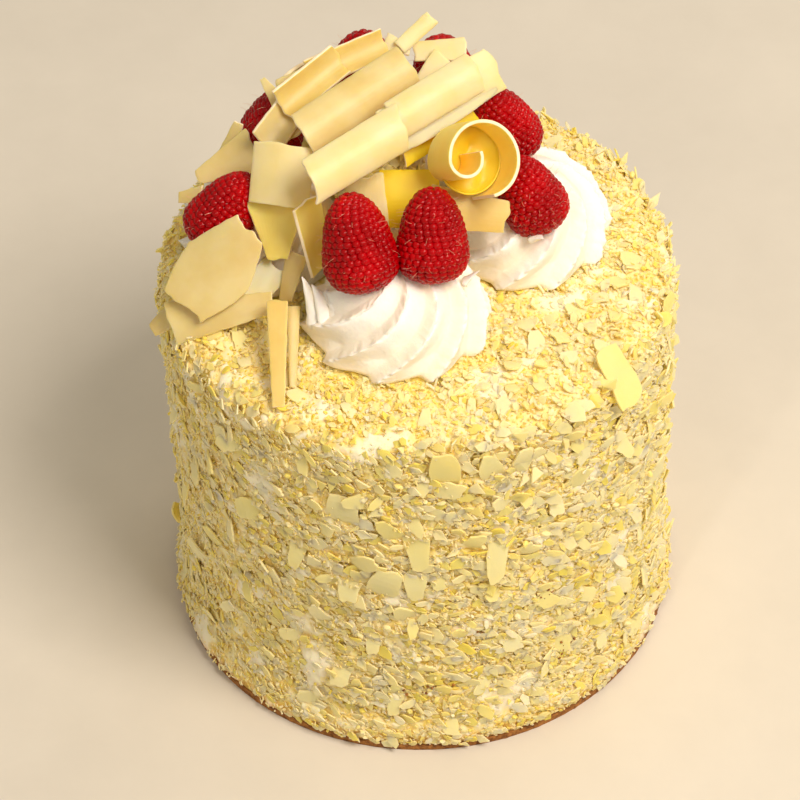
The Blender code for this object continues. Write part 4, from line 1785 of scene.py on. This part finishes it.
# Each sheet's tone is painted light and shade: a lit or shaded copy of the same chocolate
SHEETS = (
    Sheet("shard_left_low", (-130.0, 45.0), 30.0, 8.0, (3.0, 6.0), 14.0, tone=LitShadeTone.STRAW),
    Sheet("sheet_left_back", (-110.0, 46.0), 38.0, 18.0, (4.0, 14.0), 16.0, tone=LitShadeTone.STRAW),
    Sheet("shard_left_tip", (-120.0, 30.0), 80.0, 15.0, (6.0, 3.0), 12.0, tone=LitShadeTone.STRAW),
    Sheet("shard_back_left", (-92.0, 56.0), 14.0, 15.0, (3.0, 9.0), 14.0, tone=LitShadeTone.STRAW),
    Sheet("curl_back_left", (-75.0, 46.0), 12.0, 24.0, (10.0, 9.0), -8.0, tone=LitShadeTone.AMBER),
    Sheet("sheet_back_right", (-88.0, 60.0), 0.0, 15.0, (6.0, 7.0), 22.0),
    Sheet("shard_back_middle", (-90.0, 55.0), -25.0, 8.0, (5.5, 3.0), 12.0),
    Sheet("strip_back", (-80.0, 50.0), 34.0, 13.0, (4.5, 5.0), 8.0),
    Sheet("shard_pointed", (-100.0, 50.0), 132.0, 19.0, (9.0, 1.5), 30.0, tone=LitShadeTone.STRAW),
    Sheet("curl_behind", (-65.0, 44.0), 20.0, 22.0, (12.0, 11.0), -7.0, tone=LitShadeTone.AMBER),
    Sheet("shard_small", (-90.0, 50.0), 65.0, 8.0, (6.0, 1.5), 12.0),
    Sheet("curl_left", (-70.0, 46.0), 38.0, 13.0, (11.0, 10.0), -8.0, tone=LitShadeTone.STRAW),
    Sheet("sheet_right", (-82.0, 40.0), -14.0, 22.0, (13.0, 9.0), 40.0, tone=LitShadeTone.AMBER,
          broken=1.3),
    Sheet("sheet_deep", (-90.0, 42.0), 0.0, 17.0, (17.0, 16.0), 22.0, tone=LitShadeTone.GOLDEN),
    Sheet("sheet_between", (-110.0, 32.0), 106.0, 19.0, (12.0, 12.0), 13.0),
    Sheet("sheet_under_small", (-60.0, 46.0), 8.0, 25.0, (12.0, 11.0), 30.0, tone=LitShadeTone.GOLDEN),
    LEAFED_SHEET,
    Sheet("shard_top_right", (-80.0, 46.0), 46.0, 13.0, (5.0, 7.0), 20.0),
    Sheet("curl_long_right", (-60.0, 48.0), 8.0, 28.5, (13.0, 13.5), 8.0),
    Sheet("strip_rim", (-90.0, 66.0), 90.0, 31.0, (3.6, 6.0), 30.0, tone=LitShadeTone.AMBER),
    Sheet("strip_rim_thin", (-60.0, 60.0), 62.0, 24.0, (2.0, 4.0), 4.0, tone=LitShadeTone.STRAW),
    Sheet("shard_far_left", (-130.0, 35.0), 60.0, 11.0, (4.0, 4.0), 5.0, belly=3.0,
          tone=LitShadeTone.STRAW),
    Sheet("sheet_low_left", (-105.0, 42.0), 21.0, 31.0, (13.0, 6.0), 22.0, tone=LitShadeTone.STRAW,
          broken=1.6),
    Sheet("shard_pale", (-85.0, 45.0), 40.0, 13.0, (9.0, 9.0), 25.0, tone=LitShadeTone.PALE, broken=2.0),
    Sheet("sheet_big_left", (-110.0, 45.0), 60.0, 29.0, (14.0, 11.0), 34.0, belly=10.0,
          tone=LitShadeTone.STRAW, broken=1.8),
    Sheet("strip_front_left", (-110.0, 35.0), 86.0, 14.0, (4.0, 7.0), 6.0, tone=LitShadeTone.STRAW),
    Sheet("sheet_left_scoop", (-95.0, 40.0), 92.0, 17.0, (6.0, 18.0), -18.0, tone=LitShadeTone.HONEY),
    Sheet("curl_square", (-103.0, 44.0), 91.0, 17.0, (18.0, 19.0), 17.0, broken=0.4),
    Sheet("curl_long_left", (-60.0, 48.0), 8.0, 32.0, (14.0, 15.0), 9.0, slant=3.0),
    Sheet("curl_top", (-60.0, 50.0), 10.0, 38.0, (15.5, 15.5), 9.0, tone=LitShadeTone.STRAW),
    Sheet("sheet_standing", (-38.0, 18.0), 84.0, 22.0, (9.0, 12.0), -12.0, tone=LitShadeTone.HONEY),
    Sheet("back_sheet_left", (130.0, 40.0), 60.0, 20.0, (13.0, 9.0), 20.0, belly=4.0),
    Sheet("back_sheet_right", (50.0, 35.0), 20.0, 17.0, (10.0, 7.0), 18.0),
    Sheet("back_curl", (85.0, 50.0), 15.0, 26.0, (13.0, 12.0), 8.0),
    Sheet("back_shard", (110.0, 50.0), 100.0, 14.0, (8.0, 4.0), 14.0),
    Sheet("right_shard", (20.0, 45.0), 45.0, 13.0, (7.0, 4.0), 16.0),
)


def curled(along: float, angle: float, curl: float) -> Vector:
    """Point of a curled sheet, by its place along and the angle that it has turned through."""
    return Vector((along, curl * math.sin(angle), curl * (math.cos(angle) - 1.0)))


@dataclass
class ChocolateShavings:
    """The heap's large pieces: thin sheets, curls, strips and the roll, with torn pale rims.

    Lengths are in millimetres and angles in degrees. The roll has a wide turn up to the angle
    where it tightens, and a tighter one inside it, each with its own radius.
    """

    cell: float = 0.9
    wall: float = 1.0
    leaf_wall: float = 0.6
    leaf_taper: float = 0.3
    round_off: float = 0.22
    ragged: float = 0.09
    ragged_scale: float = 3.0
    nick: float = 0.26
    nick_size: float = 2.6
    nick_reach: float = 1.6
    end_nick: float = 1.6
    edge_nick: float = 0.8
    roll_length: float = 14.0
    roll_radii: tuple[float, float] = (10.9, 5.4)
    roll_angles: tuple[float, float, float] = (-75.0, 180.0, 385.0)
    roll_facing: tuple[float, float] = (-56.0, 41.0)
    roll_turn: float = -24.0
    lining_radius: float = 9.9
    lining_back: float = 3.0
    lining_depth: float = 3.4
    lining_wall: float = 0.5
    fold: float = 1.6
    fold_scale: float = 2.2

    def build(self, finishes: dict[LitShadeTone, Material], rim: Material) -> list[Object]:
        """Make every sheet and the roll.

        Args:
            finishes: the chocolate for each tone.
            rim: the finish of the broken edges.

        Returns:
            The pieces.
        """
        made = [self.sheet(sheet, finishes[sheet.tone], rim) for sheet in SHEETS]
        made += [self.leaf(number, finishes[LEAFED_SHEET.tone], rim)
                 for number in range(len(LEAVES))]
        made.append(self.roll(finishes[LitShadeTone.HONEY], rim))
        # The roll's inside takes the deepest gold: painted shade
        made.append(self.lining(finishes[LitShadeTone.DEEP]))
        return made

    def bent(self, length: float, width: float, place: Callable[[float, float], Vector],
             turn: Matrix) -> BMesh:
        """Bend a flat grid, mapped in millimetres, into an open sheet.

        Args:
            length: its length.
            width: its width along the curl.
            place: where a point goes, by how far along and across it is, from -0.5 to 0.5.
            turn: how the bent sheet is turned.

        Returns:
            The sheet, round the origin.
        """
        bm = bmesh.new()
        bmesh.ops.create_grid(bm, x_segments=max(4, round(length / self.cell)),
                              y_segments=max(4, round(width / self.cell)), size=0.5)
        uv = bm.loops.layers.uv.new("UVMap")
        for face in bm.faces:
            for loop in face.loops:
                loop[uv].uv = (loop.vert.co.x * length, loop.vert.co.y * width)
        for vert in bm.verts:
            vert.co = place(vert.co.x, vert.co.y)
        bmesh.ops.transform(bm, matrix=turn, verts=bm.verts)
        return bm

    def nicks(self, u: float, w: float, length: float, width: float, seed: float
              ) -> tuple[float, float]:
        """How far the broken outline is shifted at a point near it.

        Args:
            u: place along the length, from -0.5 to 0.5.
            w: place across, from -0.5 to 0.5.
            length: the piece's length.
            width: its width there.
            seed: a number that is the piece's own.

        Returns:
            Shifts along and across, in millimetres, which fade inside.
        """
        end = max(0.0, 1.0 - (0.5 - abs(u)) * length / self.nick_reach)
        edge = max(0.0, 1.0 - (0.5 - abs(w)) * width / self.nick_reach)
        at_end = noise.noise(Vector((w * width / self.nick_size, math.copysign(5.0, u), seed)))
        at_edge = noise.noise(Vector((u * length / self.nick_size, math.copysign(9.0, w), seed)))
        return (self.nick * end * at_end * self.end_nick,
                self.nick * edge * at_edge * self.edge_nick)

    def sheet(self, sheet: Sheet, finish: Material, rim: Material) -> Object:
        """Make one sheet.

        Args:
            sheet: its sizes.
            finish: its chocolate.
            rim: the finish of its edges.

        Returns:
            The piece.
        """
        near, far = sheet.widths
        seed = len(sheet.name)

        def place(u: float, w: float) -> Vector:
            """Curl one point, and break the outline near it.

            Args:
                u: place along the length, from -0.5 to 0.5.
                w: place across, from -0.5 to 0.5.

            Returns:
                Where it goes.
            """
            width = near + (far - near) * (u + 0.5) + sheet.belly * (1.0 - abs(2.0 * u) ** 1.2)
            spot = Vector((u * self.ragged_scale, w * self.ragged_scale, seed))
            ragged = noise.noise(spot) * self.ragged * width * sheet.broken
            along, across = self.nicks(u, w, sheet.length, width, seed * 3.7)
            angle = (width * w + across * sheet.broken) / sheet.curl
            along = sheet.length * u + sheet.slant * w + ragged + along * sheet.broken
            return curled(along, angle, sheet.curl)

        bm = self.bent(sheet.length, max(near, far) + sheet.belly, place,
                       turned_frame(sheet.facing, sheet.turn))
        return self.finish_sheet(sheet.name, bm, finish, rim)

    def leaf(self, number: int, finish: Material, rim: Material) -> Object:
        """Make one thin leaf that peels off under a sheet, at its lower edge.

        Args:
            number: its row in the table of leaves.
            finish: its chocolate.
            rim: the finish of its edges.

        Returns:
            The piece.
        """
        shift, turn, length, width = LEAVES[number]
        curl = LEAFED_SHEET.curl

        def place(u: float, w: float) -> Vector:
            """Curl one point of a leaf that narrows to its ends.

            Args:
                u: place along the length, from -0.5 to 0.5.
                w: place across, from -0.5 to 0.5.

            Returns:
                Where it goes.
            """
            along, across = self.nicks(u, w, length, width, 5.0 + number)
            narrow = 1.0 - self.leaf_taper * abs(2.0 * u) ** 3
            angle = (width * w * narrow + across) / curl
            return curled(length * u + along, angle, curl)

        bm = self.bent(length, width, place,
                       turned_frame(LEAFED_SHEET.facing, LEAFED_SHEET.turn + turn))
        obj = self.finish_sheet(LEAFED_SHEET.name, bm, finish, rim, f"_leaf_{number + 1}")
        obj.modifiers["wall"].thickness = self.leaf_wall * MM
        obj.data.transform(Matrix.Translation(Vector(shift) * MM))
        return obj

    def roll(self, finish: Material, rim: Material) -> Object:
        """Make the roll: a wide turn and a tighter one inside it.

        Args:
            finish: its chocolate.
            rim: the finish of its edges.

        Returns:
            The piece.
        """
        radius, inner_radius = self.roll_radii
        start, tightens, end = self.roll_angles
        length = self.roll_length
        width = math.radians((tightens - start) * radius + (end - tightens) * inner_radius)

        def place(u: float, w: float) -> Vector:
            """Wind one point into the roll.

            Args:
                u: place along the roll, from -0.5 to 0.5.
                w: place round it, from -0.5 to 0.5.

            Returns:
                Where it goes.
            """
            degrees = start + (end - start) * (w + 0.5)
            inner = degrees > tightens
            bend = inner_radius if inner else radius
            middle = inner_radius - radius if inner else 0.0
            along, _ = self.nicks(u, w, length, width, 1.3)
            angle = math.radians(degrees)
            return Vector((middle + bend * math.cos(angle), bend * math.sin(angle),
                           length * u + along * 0.5))

        bm = self.bent(length, width, place, turned_frame(self.roll_facing, self.roll_turn))
        return self.finish_sheet("curl_spiral", bm, finish, rim)

    def lining(self, finish: Material) -> Object:
        """Make the sheet's folds deep inside the roll, which close it behind; their deep golden
        colour is painted shade in the roll's hollow.

        Args:
            finish: their chocolate.

        Returns:
            The piece.
        """
        bm = bmesh.new()
        bmesh.ops.create_uvsphere(bm, u_segments=48, v_segments=24, radius=1.0)
        front = [vert for vert in bm.verts if vert.co.z > 0.05]
        bmesh.ops.delete(bm, geom=front, context="VERTS")
        for vert in bm.verts:
            x, y, z = vert.co
            fold = self.fold * noise.noise(Vector((x * self.fold_scale, y * self.fold_scale, 4.0)))
            vert.co = Vector((x * self.lining_radius, y * self.lining_radius,
                              z * (self.lining_depth + fold) - self.lining_back))
        turn = turned_frame(self.roll_facing, self.roll_turn)
        bmesh.ops.transform(bm, matrix=turn, verts=bm.verts)
        bmesh.ops.translate(bm, vec=middle_of(*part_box("curl_spiral")), verts=bm.verts)
        name = "shaved_curl_spiral_folds"
        obj = piece(name, mesh_of(name, bm), [finish], ("curl_spiral",))
        wall = obj.modifiers.new("wall", "SOLIDIFY")
        wall.thickness = self.lining_wall * MM
        return obj

    def finish_sheet(self, node: str, bm: BMesh, finish: Material, rim: Material, suffix: str = ""
                     ) -> Object:
        """Give an open sheet its wall and its softly rounded, paler rim.

        Args:
            node: the solid that it replaces.
            bm: the open sheet.
            finish: its chocolate.
            rim: the finish of its edges.
            suffix: what tells it apart from other pieces of the same solid.

        Returns:
            The piece, moved onto its solid.
        """
        bmesh.ops.recalc_face_normals(bm, faces=bm.faces)
        name = "shaved_" + node + suffix
        obj = piece(name, mesh_of(name, bm), [finish, rim], (node,))
        wall = obj.modifiers.new("wall", "SOLIDIFY")
        wall.thickness = self.wall * MM
        wall.material_offset_rim = 1
        soft = obj.modifiers.new("soft_rim", "BEVEL")
        soft.width = self.round_off * MM
        soft.segments = 2
        soft.limit_method = "ANGLE"
        soft.angle_limit = math.radians(50.0)
        move_onto(obj, node)
        return obj


@dataclass
class ShavingMound:
    """The mound of small shavings that the large pieces lie on, its core and shavings golden as
    painted shade in the hollows under the heap.
    """

    shavings: int = 700
    size: tuple[float, float] = (2.5, 7.5)
    flat: tuple[float, float] = (0.6, 0.7)
    tilt: tuple[float, float] = (5.0, 40.0)
    # Tones drawn towards golden, and the core's gold: painted shade under the heap
    tones: tuple[float, float] = (0.2, 0.9)
    core_shade_tone: float = 0.8
    shrink: float = 0.90
    core: float = 0.92
    core_rough: float = 0.10
    sunk: float = 0.95

    def build(self, flaked: Material) -> Object:
        """Make the mound.

        Args:
            flaked: the shavings' chocolate.

        Returns:
            The piece.
        """
        low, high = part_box("shaving_mound")
        centre = np.array(middle_of(low, high))
        radii = np.array(high - low) / (2.0 * MM) * self.shrink
        shaper = random.Random(SEED + 2)
        draw = np.random.default_rng(SEED + 2)
        bm = bmesh.new()
        bmesh.ops.create_icosphere(bm, subdivisions=4, radius=1.0)
        for vert in bm.verts:
            vert.co *= self.core + self.core_rough * noise.fractal(vert.co * 4.0, 1.0, 2.0, 3)
        joined = JoinedMesh()
        joined.add(shape_of(bm), np.diag(radii)[None], centre[None], np.array([self.core_shade_tone]))
        count = self.shavings
        rise = 1.0 - 2.0 * (np.arange(count) + 0.5) / count
        around = np.arange(count) * GOLDEN_ANGLE
        level = np.sqrt(1.0 - rise ** 2)
        unit = np.stack([level * np.cos(around), level * np.sin(around), rise], axis=1)
        size = draw.uniform(*self.size, count)
        axes = unit_frames(unit, draw.uniform(0.0, 2.0 * math.pi, count),
                           np.radians(draw.uniform(*self.tilt, count)))
        broad, thick = self.flat
        axes = axes * np.stack([size, size * broad, size * thick], axis=1)[:, None, :]
        spots = centre + unit * radii * self.sunk
        shapes = [plate_shape(corners, 0.12, 0.15, shaper) for corners in (4, 5, 6)]
        shapes.append(curl_shape(0.10, 1.4, 0.5))
        for kind, shape in enumerate(shapes):
            chosen = np.arange(count) % len(shapes) == kind
            joined.add(shape, axes[chosen], spots[chosen], draw.uniform(*self.tones, chosen.sum()))
        return piece("mound_shavings", joined.mesh("mound_shavings"), [flaked],
                     ("shaving_mound",), smooth=False)


@dataclass
class BakedBase:
    """The thin baked base, a dark line of crumb round the foot."""

    segments: int = 360
    rings: int = 5
    edge: float = 0.4
    rough: float = 0.35
    rough_size: float = 1.8

    def build(self, baked: Material) -> Object:
        """Make the base.

        Args:
            baked: its finish.

        Returns:
            The piece.
        """
        profile = [(FOOT_RADIUS - self.edge, 0.0)]
        profile += [(FOOT_RADIUS, BASE_THICKNESS * (ring + 0.5) / self.rings)
                    for ring in range(self.rings)]
        profile.append((FOOT_RADIUS - self.edge, BASE_THICKNESS))
        bm = turned_solid(profile, self.segments)
        for vert in bm.verts:
            if 0.0 < vert.co.z < BASE_THICKNESS:
                rough = self.rough * noise.fractal(vert.co / self.rough_size, 1.0, 2.0, 2)
                vert.co.xy *= 1.0 + (rough - self.rough) / FOOT_RADIUS
        return piece("baked_base_crumb", mesh_of("baked_base_crumb", bm), [baked],
                     ("baked_base",))


@dataclass(frozen=True)
class Softbox:
    """A soft light that faces the cake: its place, width and height in metres, and its watts."""

    name: str
    spot: tuple[float, float, float]
    width: float
    height: float
    power: float
    colour: str


SOFTBOXES = (
    Softbox("window_right", (0.48, -0.48, 1.14), 0.50, 0.50, 14.3, "FFF3E6"),
    Softbox("window_back", (0.60, 0.90, 0.85), 0.7, 0.5, 3.0, "FFF6E8"),
    Softbox("window_gap", (-0.42, -0.95, 1.15), 0.07, 0.34, 2.4, "FFF6E8"),
)


@dataclass
class Studio:
    """The camera at the picture's angle, the pale floor and the soft lights.

    The camera's place is in millimetres; the floor's size and the lights' target in metres.
    """

    camera_back: float = 799.8
    camera_height: float = 908.7
    pitch: float = 46.3
    yaw: float = -0.4
    roll: float = -1.82
    lens: float = 176.4
    floor_size: float = 6.0
    target: tuple[float, float, float] = (0.0, 0.0, 0.09)
    sky_colour: str = "FFF4E0"
    sky_strength: float = 0.36

    def build(self) -> None:
        """Set the camera, the floor, the sky and the lights."""
        self.camera()
        self.floor()
        self.sky()
        for box in SOFTBOXES:
            self.light(box)

    def camera(self) -> None:
        """Add the camera."""
        data = bpy.data.cameras.new("camera")
        data.lens = self.lens
        data.clip_start = 0.01
        camera = linked("camera", data)
        aim = Matrix.Rotation(math.radians(-self.yaw), 4, "Z")
        aim = aim @ Matrix.Rotation(math.radians(90.0 - self.pitch), 4, "X")
        aim = aim @ Matrix.Rotation(math.radians(self.roll), 4, "Z")
        spot = Vector((0.0, -self.camera_back, self.camera_height)) * MM
        camera.matrix_world = Matrix.Translation(spot) @ aim
        bpy.context.scene.camera = camera

    def floor(self) -> None:
        """Add the plain pale floor."""
        bm = bmesh.new()
        bmesh.ops.create_grid(bm, x_segments=1, y_segments=1, size=self.floor_size)
        mesh = mesh_of("floor", bm)
        paper = PlainFinish(name="matt_paper", light="DDD6C9", dark="D9D2C5", mottle_size=40.0,
                            roughness=0.8)
        mesh.materials.append(paper.material())
        floor = linked("floor", mesh)

    def sky(self) -> None:
        """Light the scene evenly from all round."""
        world = bpy.data.worlds.new("sky")
        world.use_nodes = True
        tree = world.node_tree
        tree.nodes.clear()
        light = add_node(tree, "Background",
                         {"Color": linear(self.sky_colour), "Strength": self.sky_strength})
        add_node(tree, "OutputWorld", links={"Surface": light.outputs["Background"]})
        bpy.context.scene.world = world
        bpy.context.scene.view_settings.view_transform = "Standard"

    def light(self, box: Softbox) -> None:
        """Add one soft light that faces the cake.

        Args:
            box: the light's place, size, power and colour.
        """
        data = bpy.data.lights.new(box.name, "AREA")
        data.shape = "RECTANGLE"
        data.size = box.width
        data.size_y = box.height
        data.energy = box.power
        data.color = linear(box.colour)[:3]
        light = linked(box.name, data)
        aim = (Vector(self.target) - Vector(box.spot)).to_track_quat("-Z", "Y")
        light.matrix_world = Matrix.Translation(box.spot) @ aim.to_matrix().to_4x4()


# Each berry's solid, the azimuth that it leans towards, how far it leans, and its scale
BERRIES = (
    Berry("berry_front_left", 108.0, 30.0, 1.03),
    Berry("berry_front_right", 88.0, 28.0, 0.99),
    Berry("berry_right_front", 150.0, 30.0, 0.91),
    Berry("berry_right_back", 165.0, 25.0, 0.89),
    Berry("berry_left_front", 25.0, 42.0, 0.95),
    Berry("berry_left_back", -30.0, 20.0, 0.90),
    Berry("berry_back_left", -60.0, 15.0, 0.93),
    Berry("berry_back_right", -110.0, 15.0, 0.92),
)


def main() -> None:
    """Dress the cake from the foot up, and report each piece."""
    logging.basicConfig(level=logging.INFO, format="%(message)s")
    Studio().build()
    cream = WhippedCream(name="whipped_cream").material()
    flaked = FlakedChocolate(name="flaked_white_chocolate").material()
    undercoat = SmearedCream(name="smeared_cream").material()
    skin = BerryJuice(name="berry_skin").material()
    hair = PlainFinish(name="berry_hair", light="F2C9A8", dark="E0A080", mottle_size=2.0,
                       relief=0.02, roughness=0.5).material()
    baked = PlainFinish(name="baked_crumb", light="BC7F3E", dark="6E3F17", mottle_size=1.6,
                        relief=0.4, roughness=0.85).material()
    rim = PlainFinish(name="broken_chocolate_edge", light="FFF1D2", dark="FBE3B4",
                      mottle_size=3.0, relief=0.05, roughness=0.5).material()
    # One copy of the tempered chocolate for each tone of painted light and shade
    tempered = {}
    for tone in LitShadeTone:
        body, cloud = tone.value
        tempered[tone] = TemperedChocolate(name=f"tempered_{tone.name.lower()}", body=body,
                                           cloud=cloud).material()
    made = [BakedBase().build(baked)]
    made += CakeCoat().build(undercoat, flaked, baked)
    made += [Rosette(number).build(cream) for number in range(len(ROSETTE_SIDES))]
    made += [berry.build(skin, hair) for berry in BERRIES]
    made.append(ShavingMound().build(flaked))
    made += ChocolateShavings().build(tempered, rim)
    for obj in made:
        LOG.info("%s: %d faces", obj.name, len(obj.data.polygons))


if __name__ == "__main__":
    main()
